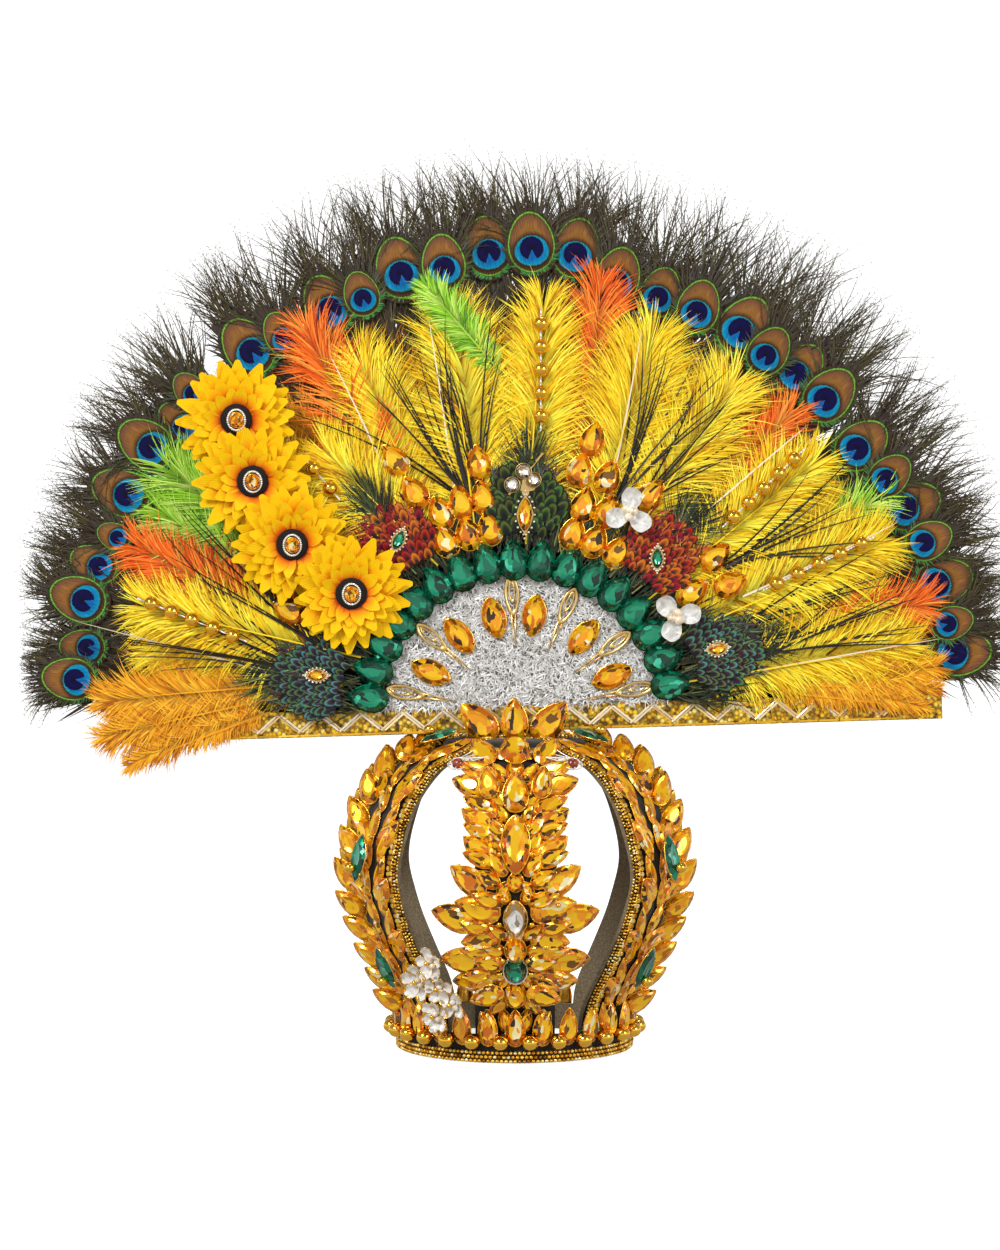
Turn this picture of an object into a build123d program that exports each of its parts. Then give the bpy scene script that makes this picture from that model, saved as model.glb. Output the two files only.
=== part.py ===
from build123d import *
from math import atan2, cos, degrees, radians, sin
import os

# The object is a carnival feather crown: a felt-covered orb of six bent strips on a round head band,
# with a half-round fan of feathers standing on top. Millimetres, +Z up, the front faces -Y.
# The origin is the centre of the head band, on the surface that the band rests on.

# Head band
BAND_RADIUS = 94.0
BAND_WALL = 3.0
BAND_HEIGHT = 22.0
BRAID_RADIUS = 1.6
FIT_GAP = 0.3

# Orb of bent strips
ORB_RADIUS = 137.5
ORB_HEIGHT = 254.0
STRIP_WIDTH = 63.0
STRIP_THICKNESS = 3.0
STRIP_WEDGE = 55.0
FOOT_DEPTH = 20.0
CAP_RADIUS = 30.0

# Round the band
DROP_COUNT = 28
DROP_LENGTH = 27.0
DROP_WIDTH = 15.0
DROP_DEPTH = 5.5
DROP_BASE_Z = 15.0
DROP_LEAN = 6.0
BALL_DIAMETER = 12.5
BALL_Z = 17.0
BALL_FOOT_RADIUS = 2.4
BALL_STANDOFF = 3.4

# Cut stones of the orb
LEAF_LENGTH = 30.0
LEAF_WIDTH = 18.0
LEAF_DEPTH = 5.6
LEAF_RISE = 10.0
FRONT_FACE_UP = 0.6
EMERALD_LEAF_LENGTH = 34.0
EMERALD_LEAF_WIDTH = 15.0
SMALL_BALL_DIAMETER = 9.5
# Where the small ball sits on a green navette: below its middle, and above its table, in ball sizes
SMALL_BALL_DOWN = 0.9
SMALL_BALL_UP = 0.33
STUD_RADIUS = 2.0
STUD_BITE = 1.8
STUD_SHARE = 0.38
PEARL_DIAMETER = 6.0

# Fan on top: a board, a brocade bar along its foot and feather layers stacked on its front
FAN_BASE_Z = 259.0
FAN_TILT = 1.7
FAN_CENTRE_ASIDE = 5.2
FAN_CENTRE_UP = 15.0
BOARD_RADIUS = 318.0
BOARD_THICKNESS = 4.0
BAR_LENGTH = 681.0
BAR_ASIDE = 10.0
BAR_HEIGHT = 21.0
POST_WIDTH = 36.0
POST_HEIGHT = 150.0
POST_THICKNESS = 4.0
POST_FOOT_DEPTH = 21.0
LAYER_THICKNESS = 3.0
ROOT_INNER_RADIUS = 127.0
ROOT_OUTER_RADIUS = 150.0
PLUME_REACH = 352.0
PLUME_WIDTH = 82.0

# Peacock fringe
EYE_COUNT = 31
EYE_RING_RADIUS = 372.0
EYE_FIRST_ANGLE = 4.6
EYE_LAST_ANGLE = 175.4
EYE_LENGTH = 50.0
EYE_WIDTH = 38.0
FRINGE_TOP_REACH = 456.0
FRINGE_SIDE_REACH = 396.0
FRINGE_LOCK_WIDTH = 62.0
# Neighbouring locks differ in thickness, so that each edge shows (shares of a layer)
FRINGE_THICKNESSES = (0.8, 0.9)
EYE_DEPTH_SHARE = 0.6

# Jewels of the fan
DISC_RADIUS = 124.0
EMERALD_COUNT = 17
EMERALD_RING_RADIUS = 125.0
EMERALD_FIRST_ANGLE = 9.1
EMERALD_LAST_ANGLE = 172.6
EMERALD_LENGTH = 29.0
EMERALD_WIDTH = 20.6
EMERALD_DEPTH = 8.0
NAVETTE_LENGTH = 34.0
NAVETTE_WIDTH = 19.5
NAVETTE_DEPTH = 7.0
CLUSTER_LENGTH = 25.0
CLUSTER_WIDTH = 17.0
CLUSTER_DEPTH = 8.0
FILIGREE_WIDTH = 6.5
FILIGREE_DEPTH = 2.5
FLOWER_RADIUS = 46.0
FLOWER_PETALS = 16
FLOWER_LEAN = 10.0
FLOWER_CENTRE_RADIUS = 13.0
FLOWER_CENTRE_DEPTH = 7.4
FLOWER_STEM_RADIUS = 3.9
FLOWER_JEWEL_LENGTH = 17.8
FLOWER_JEWEL_WIDTH = 15.5
FLOWER_JEWEL_DEPTH = 5.2
PETAL_THICKNESS = 3.2
PETAL_VALLEY_SHARE = 0.76
# Upper ring of petals: its size, its turn in petals and its height in petal thicknesses
UPPER_PETALS = (0.82, 0.5, 0.9)
PATCH_LENGTH = 80.0
PATCH_WIDTH = 48.0
STRING_BEAD_DIAMETER = 12.4
THREAD_DIAMETER = 1.2
THREAD_CLEARANCE = 0.3
PEARL_PETAL_LENGTH = 19.0
PEARL_PETAL_WIDTH = 14.0
PEARL_PETAL_DEPTH = 2.4
# Pearls of a flower: ring radius in pearl diameters, and the first pearl's angle
PEARL_RING_SHARE = 0.55
PEARL_FIRST_ANGLE = 30.0

# Half outlines of the cut stones: (share of the half width, share of the length from the middle)
PEAR = ((0.0, 0.5), (0.62, 0.2), (1.0, -0.1), (0.72, -0.38), (0.0, -0.5))
NAVETTE = ((0.0, 0.5), (0.66, 0.26), (1.0, 0.0), (0.66, -0.26), (0.0, -0.5))
OVAL = ((0.0, 0.5), (0.71, 0.354), (1.0, 0.0), (0.71, -0.354), (0.0, -0.5))
TABLE_SHARE = 0.52
BACK_SHARE = 0.6
CROWN_SHARE = 0.6

# Bend of a strip: (share of the rise from band to top, share of the swell from band to widest)
STRIP_LOWER = ((0.10, 0.11), (0.20, 0.37), (0.286, 0.585), (0.38, 0.797), (0.47, 0.932), (0.54, 1.0))
# Above the widest: (share of the rise, share of the widest radius)
STRIP_UPPER = ((0.603, 0.987), (0.688, 0.945), (0.77, 0.894), (0.841, 0.813), (0.92, 0.679), (0.968, 0.44))

STRIP_AZIMUTHS = {
    "front": 0.0,
    "right_front": 56.0,
    "right_back": 124.0,
    "back": 180.0,
    "left_back": 236.0,
    "left_front": 304.0,
}

# Front strip, pairs of stones: (share of the orb height, aside as a share of the strip width,
# lean of the tip from upright, size against a leaf stone, layer)
FRONT_PAIRS_UPPER = (
    (0.945, 0.40, 40.0, 0.90, 0),
    (0.857, 0.55, 74.0, 0.86, 0),
    (0.868, 0.31, 12.0, 0.72, 1),
    (0.764, 0.43, 59.0, 0.92, 0),
    (0.677, 0.44, 52.0, 0.86, 0),
    (0.581, 0.58, 55.0, 0.92, 0),
)
FRONT_PAIRS_LOWER = (
    (0.478, 0.75, 75.0, 1.02, 0.2),
    (0.500, 0.46, 75.0, 1.00, 0),
    (0.405, 0.42, 99.0, 0.86, 0),
    (0.331, 0.65, 86.0, 0.98, 0),
    (0.337, 0.31, 84.0, 0.66, 0.6),
    (0.262, 0.55, 93.0, 0.80, 0),
    (0.222, 0.33, 108.0, 0.78, 1),
)
# Middle of the front strip: (outline, share of the orb height, length, width, in leaf lengths)
FRONT_MIDDLE_UPPER = (
    (OVAL, 0.943, 0.86, 0.72),
    (PEAR, 0.835, 1.08, 0.74),
    (NAVETTE, 0.690, 1.46, 0.70),
)
FRONT_MIDDLE_LOWER = (
    (NAVETTE, 0.472, 0.94, 0.58),
    (OVAL, 0.377, 0.66, 0.52),
    (OVAL, 0.303, 0.62, 0.50),
    (OVAL, 0.226, 0.70, 0.52),
)
# Crest in front of the bar, in leaf lengths from the bar's foot: (aside, up, lean, size)
CREST = ((-0.98, 0.31, -42.0, 1.1), (0.0, 0.32, 0.0, 1.0), (0.98, 0.27, 42.0, 1.1))

# Other strips: rows of leaf pairs and emeralds, as shares of the strip's length
LEAF_ROWS = (0.13, 0.27, 0.41, 0.55, 0.69, 0.83)
REAR_LEAF_ROWS = (0.15, 0.32, 0.49, 0.66, 0.83)
REAR_STRIPS = ("right_back", "back", "left_back")
LEAF_ASIDE = 0.275
LEAF_LEAN = 48.0
EMERALD_ROWS = (0.2, 0.48, 0.86)

# Feather layers: (angle of the tip, reach in plume reaches, angle of the root, width share)
GOLD_PLUMES = (
    (10.0, 0.97, 14.0, 0.9), (30.0, 0.98, 30.0, 0.9), (46.5, 0.98, 45.0, 0.9), (61.0, 0.97, 61.0, 0.9),
    (76.0, 0.96, 76.0, 0.8), (91.0, 0.96, 91.0, 0.8), (110.0, 0.98, 107.0, 0.9), (126.0, 0.95, 123.0, 0.9),
    (141.0, 0.92, 140.0, 0.9), (156.0, 0.94, 157.0, 0.9), (171.0, 0.96, 168.0, 0.8),
)
GREEN_PLUMES = ((29.0, 1.04, 32.0, 0.62), (98.5, 1.0, 93.0, 0.4), (143.5, 1.01, 146.0, 0.7))
ORANGE_PLUMES = (
    (13.5, 1.02, 16.5, 0.6), (46.0, 0.97, 46.0, 0.62), (79.0, 1.055, 73.0, 0.58),
    (117.0, 1.055, 121.0, 0.62), (153.5, 1.01, 156.0, 0.6), (178.0, 1.0, 172.0, 0.7),
)
YELLOW_BACK_PLUMES = (
    (16.0, 0.93, 15.0, 0.8), (31.5, 0.93, 33.0, 0.8), (62.0, 0.93, 60.0, 0.9),
    (113.0, 0.98, 115.0, 0.9), (132.0, 0.86, 131.0, 0.8), (168.0, 0.94, 168.0, 0.8),
)
YELLOW_FRONT_PLUMES = (
    (8.1, 1.0, 9.0, 0.8), (23.2, 1.01, 24.5, 0.88), (38.8, 0.98, 40.0, 0.9), (55.3, 0.98, 56.0, 1.0),
    (69.0, 1.0, 66.0, 1.0), (85.2, 1.045, 86.5, 0.8), (98.6, 1.0, 103.0, 1.0),
    (125.0, 0.82, 117.5, 0.9), (162.5, 0.99, 159.0, 0.85), (132.5, 1.0, 147.0, 0.7),
)
# Outline and quill of a feather lock: (share of its length, share of its half width)
LOCK = ((0.0, 0.16), (0.3, 0.58), (0.58, 0.94), (0.8, 1.0), (0.93, 0.7))
LOCK_EDGE_SHARE = 0.8

# Places on the fan, by angle from the bar
DISC_NAVETTES = (20.0, 48.5, 80.3, 103.9, 126.7, 153.7)
DISC_NAVETTE_SHARE = 0.65
FILIGREE = (9.9, 34.5, 64.5, 92.5, 138.0, 168.3)
FILIGREE_INNER_SHARE = 0.42
FILIGREE_OUTER_SHARE = 0.885
# Stones above the green pears: (angle, how far above the lowest row in stone lengths, lean from the spoke)
CLUSTER_LEFT = (
    (114.8, 3.15, 10.0), (114.0, 1.91, 6.0), (110.1, 0.95, 2.0), (104.1, 1.08, 0.0), (97.8, 2.22, -4.0),
    (98.2, 1.08, 0.0), (111.9, 0.05, 4.0), (104.6, 0.03, 0.0), (97.8, 0.03, 0.0), (154.5, 2.19, 0.0),
)
CLUSTER_RIGHT = (
    (73.5, 3.15, -2.0), (74.6, 2.08, 0.0), (68.0, 2.14, 0.0), (71.4, 1.03, 0.0), (65.0, 1.08, 0.0),
    (72.1, 0.03, 0.0), (65.0, 0.03, 0.0), (57.2, 0.06, 0.0), (57.5, 2.22, -10.0),
    (37.1, 2.08, 0.0), (29.8, 1.95, -8.0), (33.4, 0.79, 0.0),
)
# (angle, radius as a share of the plume reach)
SUNFLOWERS = ((132.3, 0.943), (137.3, 0.818), (141.7, 0.656), (142.8, 0.480))
# (angle of the root, lean from the spoke)
PATCHES = ((87.0, 0.0), (122.5, 8.0), (47.2, 0.0), (16.2, -4.0), (168.4, 4.0))
# On the patches: (angle, place up the patch, length and width in navette lengths, lean from the spoke)
BROOCHES = (
    (87.0, 0.276, 0.96, 0.42, 0.0), (123.5, 0.409, 0.66, 0.34, -60.0), (46.8, 0.356, 0.66, 0.34, 40.0),
    (16.4, 0.365, 0.60, 0.36, -10.0), (167.8, 0.365, 0.62, 0.34, 10.0),
)
BROOCH_RIM = 1.6
BROOCH_DEPTH = 3.0
BROOCH_STEM_LENGTH = 44.0
BROOCH_STEM_LEAN = -38.0
BLOSSOM_PETALS = 4
BLOSSOM_PETAL_LENGTH = 7.8
BLOSSOM_PETAL_WIDTH = 6.0
# Beside the clusters, in the clusters' terms
PEARL_FLOWERS = ((59.2, 1.27, 20.0), (31.0, -0.18, 100.0))
# Strings: (angle of the inner bead, its radius share, angle of the outer bead, its radius share, beads)
BEAD_STRINGS = (
    (84.4, 0.690, 85.3, 0.903, 5), (41.0, 0.670, 41.2, 0.864, 5), (25.1, 0.665, 24.8, 0.881, 5),
    (163.3, 0.690, 161.8, 0.892, 5), (128.6, 0.682, 128.6, 0.742, 2),
)

# Pearl flowers on the band's left: (aside, up) in petal lengths, and where the cluster sits
BAND_FLOWER_AZIMUTH = 326.5
BAND_FLOWER_Z = 57.0
BAND_FLOWER_STANDOFF = 20.6
BAND_FLOWER_LEAN = 12.0
BAND_FLOWERS = ((0.0, 1.45), (-0.75, 0.15), (1.0, -0.55), (-0.05, -1.3))
BAND_FLOWER_PETALS = 5
BAND_FLOWER_SIZE = 0.62
# Plate behind them: half width, half height and thickness in petal lengths
SPRAY_PLATE = (0.9, 1.8, 0.063)

os.makedirs("parts", exist_ok=True)


def write(name, *solids):
    """One node: its solids in one file of its own name."""
    export_step(Compound(list(solids)), f"parts/{name}.step")
    print(name, len(solids), "solids", round(sum(solid.volume for solid in solids)), "mm3")


def faceted(points, faces):
    """A closed solid of flat facets, each a tuple of point numbers."""
    sides = [Face(Wire.make_polygon([points[i] for i in face])) for face in faces]
    return Solid(Shell(sides))


def mirrored_outline(half, width, length):
    right = [(share * width / 2, along * length) for share, along in half]
    left = [(-x, y) for x, y in reversed(right[1:-1])]
    return right + left


def cut_stone(half, length, width, depth):
    """A cut stone lying in XY, its tip towards +Y, its back on z = 0 and its table at z = depth."""
    outline = mirrored_outline(half, width, length)
    count = len(outline)
    girdle_z = depth * (1 - CROWN_SHARE)
    back = [(x * BACK_SHARE, y * BACK_SHARE, 0) for x, y in outline]
    girdle = [(x, y, girdle_z) for x, y in outline]
    table = [(x * TABLE_SHARE, y * TABLE_SHARE, depth) for x, y in outline]
    faces = [tuple(range(count)), tuple(range(2 * count, 3 * count))]
    for i in range(count):
        j = (i + 1) % count
        faces.append((i, j, count + j, count + i))
        faces.append((count + i, count + j, 2 * count + j, 2 * count + i))
    return faceted(back + girdle + table, faces)


def lock(length, width, thickness):
    """A feather lock lying in XY from its root at the origin to its tip at +Y, with a raised quill."""
    half = [(share * width / 2, along * length) for along, share in LOCK]
    edge_z = thickness * LOCK_EDGE_SHARE
    rows = len(half)
    points = []
    for x, y in half:
        points += [(-x, y, 0), (x, y, 0), (-x, y, edge_z), (x, y, edge_z), (0, y, thickness)]
    tip_low, tip_high = len(points), len(points) + 1
    points += [(0, length, 0), (0, length, edge_z)]
    left = [5 * row for row in range(rows)]
    right = [5 * row + 1 for row in range(rows)]
    faces = [tuple(left + [tip_low] + right[::-1]), (0, 1, 3, 4, 2)]
    for a in left[:-1]:
        b = a + 5
        faces += [(a, b, b + 2, a + 2), (a + 1, b + 1, b + 3, a + 3)]
        faces += [(a + 2, b + 2, b + 4), (a + 2, b + 4, a + 4), (a + 3, b + 3, b + 4), (a + 3, b + 4, a + 4)]
    last = left[-1]
    faces += [(last, tip_low, tip_high, last + 2), (last + 1, tip_low, tip_high, last + 3)]
    faces += [(last + 2, tip_high, last + 4), (last + 3, tip_high, last + 4)]
    return faceted(points, faces)


# Lifts a leaf stone so that its raised base end stays clear of what it lies on
leaf_seat = Pos(0, 0, BACK_SHARE * LEAF_LENGTH / 2 * sin(radians(LEAF_RISE)))

# Outside line of a strip, from the inside of the band to the rim of the cap
foot_radius = BAND_RADIUS - BAND_WALL - FIT_GAP
rise = ORB_HEIGHT - BAND_HEIGHT
swell = ORB_RADIUS - foot_radius
strip_line = [(foot_radius + share * swell, BAND_HEIGHT + up * rise) for up, share in STRIP_LOWER]
strip_line += [(share * ORB_RADIUS, BAND_HEIGHT + up * rise) for up, share in STRIP_UPPER]
strip_line = [(foot_radius, BAND_HEIGHT)] + strip_line + [(CAP_RADIUS + FIT_GAP, ORB_HEIGHT - FIT_GAP)]
SAMPLES = 80
outer_curve = Spline(*[(r, 0, z) for r, z in strip_line], tangents=((0, 0, 1), (-1, 0, 0)))
strip_samples = [(outer_curve @ (i / SAMPLES), outer_curve % (i / SAMPLES)) for i in range(SAMPLES + 1)]
knot_shares = [i / len(strip_line) for i in range(len(strip_line) + 1)]


def across(along):
    """The direction from a strip's outside through its wall, square to the line along it."""
    return Vector(-along.Z, 0, along.X).normalized()


def lean_of(along):
    """How far the outside faces up, in degrees: 0 on an upright wall, 90 on a flat top."""
    angle = Vector(0, 0, 1).get_angle(along)
    return angle if along.X < 0 else -angle


def share_at_height(height):
    """Share of the strip's length at a height above the floor."""
    nearest = min(range(SAMPLES + 1), key=lambda i: abs(strip_samples[i][0].Z - height))
    return nearest / SAMPLES


def on_strip(azimuth, share, aside, standoff, face_up=1.0):
    """A frame on a strip's outside: X along the strip's width, Y up along it, Z outwards."""
    point, along = outer_curve @ share, outer_curve % share
    turn = Rot(0, 0, azimuth + degrees(aside / point.X))
    upright = Pos(0, -point.X, point.Z) * Rot(90, 0, 0)
    return turn * upright * Rot(-lean_of(along) * face_up, 0, 0) * Pos(0, 0, standoff)


def on_band(azimuth, height, standoff, lean=0.0):
    """A frame on the band's outside: X round the band, Y up, Z outwards."""
    upright = Pos(0, -BAND_RADIUS - standoff, height) * Rot(90, 0, 0)
    return Rot(0, 0, azimuth) * upright * Rot(lean, 0, 0)


def band():
    outside = Cylinder(BAND_RADIUS, BAND_HEIGHT, align=(Align.CENTER, Align.CENTER, Align.MIN))
    hole = Cylinder(BAND_RADIUS - BAND_WALL, BAND_HEIGHT, align=(Align.CENTER, Align.CENTER, Align.MIN))
    write("band", *(outside - hole).solids())
    centre = BAND_RADIUS + FIT_GAP + BRAID_RADIUS
    write("band_braid", Pos(0, 0, BRAID_RADIUS + FIT_GAP) * Torus(centre, BRAID_RADIUS))


def band_stones():
    pitch = 360.0 / DROP_COUNT
    drop = Pos(0, DROP_LENGTH / 2, 0) * cut_stone(PEAR, DROP_LENGTH, DROP_WIDTH, DROP_DEPTH)
    drops = [on_band(i * pitch, DROP_BASE_Z, FIT_GAP, DROP_LEAN) * drop for i in range(DROP_COUNT)]
    write("band_drops", *drops)
    ball_radius = BALL_DIAMETER / 2
    ball_out = ball_radius + BALL_STANDOFF
    foot = Cylinder(BALL_FOOT_RADIUS, ball_out, align=(Align.CENTER, Align.CENTER, Align.MIN))
    ball = (Pos(0, 0, ball_out) * Sphere(ball_radius) + foot).solid()
    balls = [on_band((i + 0.5) * pitch, BALL_Z, FIT_GAP) * ball for i in range(DROP_COUNT)]
    write("band_balls", *balls)


def strips():
    """Six bent strips and the round cap that joins them at the top."""
    inner_points = [outer_curve @ u + across(outer_curve % u) * STRIP_THICKNESS for u in knot_shares]
    inner_curve = Spline(*inner_points, tangents=((0, 0, 1), (-1, 0, 0)))
    foot_drop = Vector(0, 0, -FOOT_DEPTH)
    foot_out, foot_in = outer_curve @ 0, inner_curve @ 0
    foot = Polyline(foot_in, foot_in + foot_drop, foot_out + foot_drop, foot_out)
    top = Line(outer_curve @ 1, inner_curve @ 1)
    profile = Face(Wire([*foot.edges(), outer_curve, top, inner_curve]))
    turned = revolve(profile, Axis.Z, STRIP_WEDGE)
    reach = ORB_RADIUS + STRIP_THICKNESS
    slab = Box(reach, STRIP_WIDTH, ORB_HEIGHT + BAND_HEIGHT, align=(Align.MIN, Align.CENTER, Align.MIN))
    strip = (Rot(0, 0, -STRIP_WEDGE / 2) * turned & slab).solid()
    for name, azimuth in STRIP_AZIMUTHS.items():
        write(f"strip_{name}", Rot(0, 0, azimuth - 90) * strip)
    cap_low = ORB_HEIGHT - 2 * STRIP_THICKNESS
    cap_height = FAN_BASE_Z - cap_low - FIT_GAP - CAP_RADIUS * sin(radians(FAN_TILT))
    cap = Cylinder(CAP_RADIUS, cap_height, align=(Align.CENTER, Align.CENTER, Align.MIN))
    write("crown_cap", Pos(0, 0, cap_low) * cap)


def stud(length):
    """The round foot behind a raised stone, from its back down to the strip."""
    foot = Cylinder(STUD_RADIUS, length + STUD_BITE, align=(Align.CENTER, Align.CENTER, Align.MAX))
    return Pos(0, 0, STUD_BITE) * foot


def strip_stones(name, azimuth):
    """Leaf-shaped stones in pairs up a strip, with green navettes down its middle, each with a gold ball."""
    leaf = cut_stone(PEAR, LEAF_LENGTH, LEAF_WIDTH, LEAF_DEPTH)
    aside = LEAF_ASIDE * STRIP_WIDTH
    stones = []
    for share in REAR_LEAF_ROWS if name in REAR_STRIPS else LEAF_ROWS:
        for side in (-1, 1):
            seat = on_strip(azimuth, share, side * aside, FIT_GAP)
            stones.append(seat * Rot(0, 0, -side * LEAF_LEAN) * Rot(LEAF_RISE, 0, 0) * leaf_seat * leaf)
    green = cut_stone(NAVETTE, EMERALD_LEAF_LENGTH, EMERALD_LEAF_WIDTH, LEAF_DEPTH)
    ball_out = LEAF_DEPTH + SMALL_BALL_UP * SMALL_BALL_DIAMETER
    ball = Pos(0, -SMALL_BALL_DOWN * SMALL_BALL_DIAMETER, ball_out) * Sphere(SMALL_BALL_DIAMETER / 2)
    standoff = 2 * FIT_GAP + LEAF_DEPTH + LEAF_LENGTH * sin(radians(LEAF_RISE))
    jewel = (green + ball + stud(standoff - FIT_GAP)).solid()
    stones += [on_strip(azimuth, share, 0, standoff) * jewel for share in EMERALD_ROWS]
    write(f"stones_{name}", *stones)


def turn_out(share):
    """How much more upright than the strip a front stone stands, in degrees."""
    return lean_of(outer_curve % share) * (1 - FRONT_FACE_UP)


def clear_of_strip(share, half_height):
    """How far a stone that is more upright than the strip stands out, so that its end clears it."""
    return FIT_GAP + half_height * sin(radians(abs(turn_out(share))))


def stud_length(share, standoff):
    """Length of a front stone's stud, whose end meets the strip at a slant."""
    return standoff - FIT_GAP - STUD_RADIUS * sin(radians(abs(turn_out(share))))


def front_stones(name, pairs, middle):
    """Pairs of leaf stones and a middle row; a stone past the strip's edge has its foot at its inner end."""
    stones = []
    stud_limit = STRIP_WIDTH / 2 - STUD_RADIUS / 2
    for up, aside, lean, size, layer in pairs:
        leaf = cut_stone(PEAR, size * LEAF_LENGTH, size * LEAF_WIDTH, LEAF_DEPTH)
        share = share_at_height(up * ORB_HEIGHT)
        half_height = size * max(LEAF_LENGTH * abs(cos(radians(lean))), LEAF_WIDTH) / 2
        standoff = layer * (LEAF_DEPTH + FIT_GAP) + clear_of_strip(share, half_height)
        inner = STUD_SHARE * size * LEAF_LENGTH
        nearer = inner * cos(radians(lean)) * sin(radians(turn_out(share)))
        length = stud_length(share, standoff)
        if aside * STRIP_WIDTH < stud_limit:
            leaf = (leaf + stud(length)).solid()
        elif aside * STRIP_WIDTH - inner * sin(radians(lean)) < stud_limit:
            leaf = (leaf + Pos(0, -inner, 0) * stud(length - nearer)).solid()
        for side in (-1, 1):
            seat = on_strip(0, share, side * aside * STRIP_WIDTH, standoff, FRONT_FACE_UP)
            stones.append(seat * Rot(0, 0, -side * lean) * leaf)
    for half, up, length, width in middle:
        stone = cut_stone(half, length * LEAF_LENGTH, width * LEAF_LENGTH, 2 * LEAF_DEPTH)
        share = share_at_height(up * ORB_HEIGHT)
        standoff = clear_of_strip(share, length * LEAF_LENGTH / 2)
        stone = (stone + stud(stud_length(share, standoff))).solid()
        stones.append(on_strip(0, share, 0, standoff, FRONT_FACE_UP) * stone)
    write(name, *stones)


def flower_of_petals(petals, length, width, depth, pearls):
    """Round-ended petals about a middle with pearls, lying in XY and fused."""
    petal = Pos(0, length / 2, depth / 2) * extrude(Ellipse(width / 2, length / 2), depth / 2, both=True)
    pieces = [Rot(0, 0, i * 360 / petals) * petal for i in range(petals)]
    ring = PEARL_RING_SHARE * PEARL_DIAMETER
    for i in range(pearls):
        turn = radians(i * 360 / pearls + PEARL_FIRST_ANGLE)
        pieces.append(Pos(ring * cos(turn), ring * sin(turn), depth) * Sphere(PEARL_DIAMETER / 2))
    return Part() + pieces


def band_flowers():
    """A spray of small pearl flowers low on the orb's left, on one thin plate."""
    half_width, half_height, thickness = [share * PEARL_PETAL_LENGTH for share in SPRAY_PLATE]
    pieces = [extrude(Ellipse(half_width, half_height), thickness)]
    length, width = BAND_FLOWER_SIZE * PEARL_PETAL_LENGTH, BAND_FLOWER_SIZE * PEARL_PETAL_WIDTH
    small = flower_of_petals(BAND_FLOWER_PETALS, length, width, PEARL_PETAL_DEPTH, 1)
    for aside, up in BAND_FLOWERS:
        pieces.append(Pos(aside * PEARL_PETAL_LENGTH, up * PEARL_PETAL_LENGTH, thickness / 2) * small)
    seat = on_band(BAND_FLOWER_AZIMUTH, BAND_FLOWER_Z, BAND_FLOWER_STANDOFF, BAND_FLOWER_LEAN)
    write("band_flowers", seat * (Part() + pieces).solid())


# The fan's own frame: X along the bar, Y up the fan, Z out of its front, from the foot of the bar
fan_frame = Pos(0, 0, FAN_BASE_Z) * Rot(0, -FAN_TILT, 0) * Rot(90, 0, 0)
# A box that keeps what is above the bar
keep_width, keep_depth = 4 * FRINGE_TOP_REACH, 4 * LAYER_THICKNESS
above_bar = Box(keep_width, keep_width, keep_depth, align=(Align.CENTER, Align.MIN, Align.CENTER))
LAYERS = ("peacock_fringe", "gold_plumes", "green_plumes", "orange_plumes", "yellow_back", "yellow_front")


def level(layer):
    """How far the back of a layer stands in front of the board's middle."""
    return BOARD_THICKNESS / 2 + FIT_GAP + layer * (LAYER_THICKNESS + FIT_GAP)


front_layer = LAYERS.index("yellow_front")
jewel_level = level(len(LAYERS))
emerald_edge = EMERALD_RING_RADIUS + EMERALD_LENGTH / 2 + FIT_GAP
lowest_row = emerald_edge + CLUSTER_LENGTH / 2
bar_front = level(front_layer) - FIT_GAP
fan_floor = BAR_HEIGHT + FIT_GAP


def spoke(angle, radius):
    """A place on the fan, by its angle from the bar and its distance from the fan's centre."""
    x = FAN_CENTRE_ASIDE + radius * cos(radians(angle))
    return x, FAN_CENTRE_UP + radius * sin(radians(angle))


def on_fan(angle, radius, out, lean=0.0):
    """A frame on the fan whose Y points away from the fan's centre, turned by the lean."""
    x, y = spoke(angle, radius)
    return fan_frame * Pos(x, y, out) * Rot(0, 0, angle - 90 + lean)


def half_ring(outer, inner, out, thickness):
    """A half disc or half ring about the fan's centre, above the bar."""
    flat = Circle(outer) - Circle(inner) if inner else Circle(outer)
    above = Rectangle(3 * outer, 3 * outer, align=(Align.CENTER, Align.MIN))
    flat = Pos(FAN_CENTRE_ASIDE, FAN_CENTRE_UP) * flat & Pos(0, fan_floor) * above
    return Pos(0, 0, out) * extrude(flat, thickness)


def heading(line):
    """The turn that brings +Y to a line's direction."""
    return degrees(atan2(line.Y, line.X)) - 90


def lock_between(root, tip, width, thickness):
    """A feather lock from one place on the fan to another."""
    line = Vector(*tip) - Vector(*root)
    return Pos(*root) * Rot(0, 0, heading(line)) * lock(line.length, width, thickness)


def feather_layer(name, plumes):
    """The plumes of one colour, fused to a half ring that carries their roots."""
    root_radius = (ROOT_INNER_RADIUS + ROOT_OUTER_RADIUS) / 2
    pieces = [half_ring(ROOT_OUTER_RADIUS, ROOT_INNER_RADIUS, 0, LAYER_THICKNESS)]
    for tip_angle, reach, root_angle, width in plumes:
        root, tip = spoke(root_angle, root_radius), spoke(tip_angle, reach * PLUME_REACH)
        pieces.append(lock_between(root, tip, width * PLUME_WIDTH, LAYER_THICKNESS))
    layer = Part() + pieces
    if LAYERS.index(name) < front_layer:
        layer = layer & Pos(0, fan_floor, 0) * above_bar
    write(name, fan_frame * Pos(0, 0, level(LAYERS.index(name))) * layer.solid())


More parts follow.
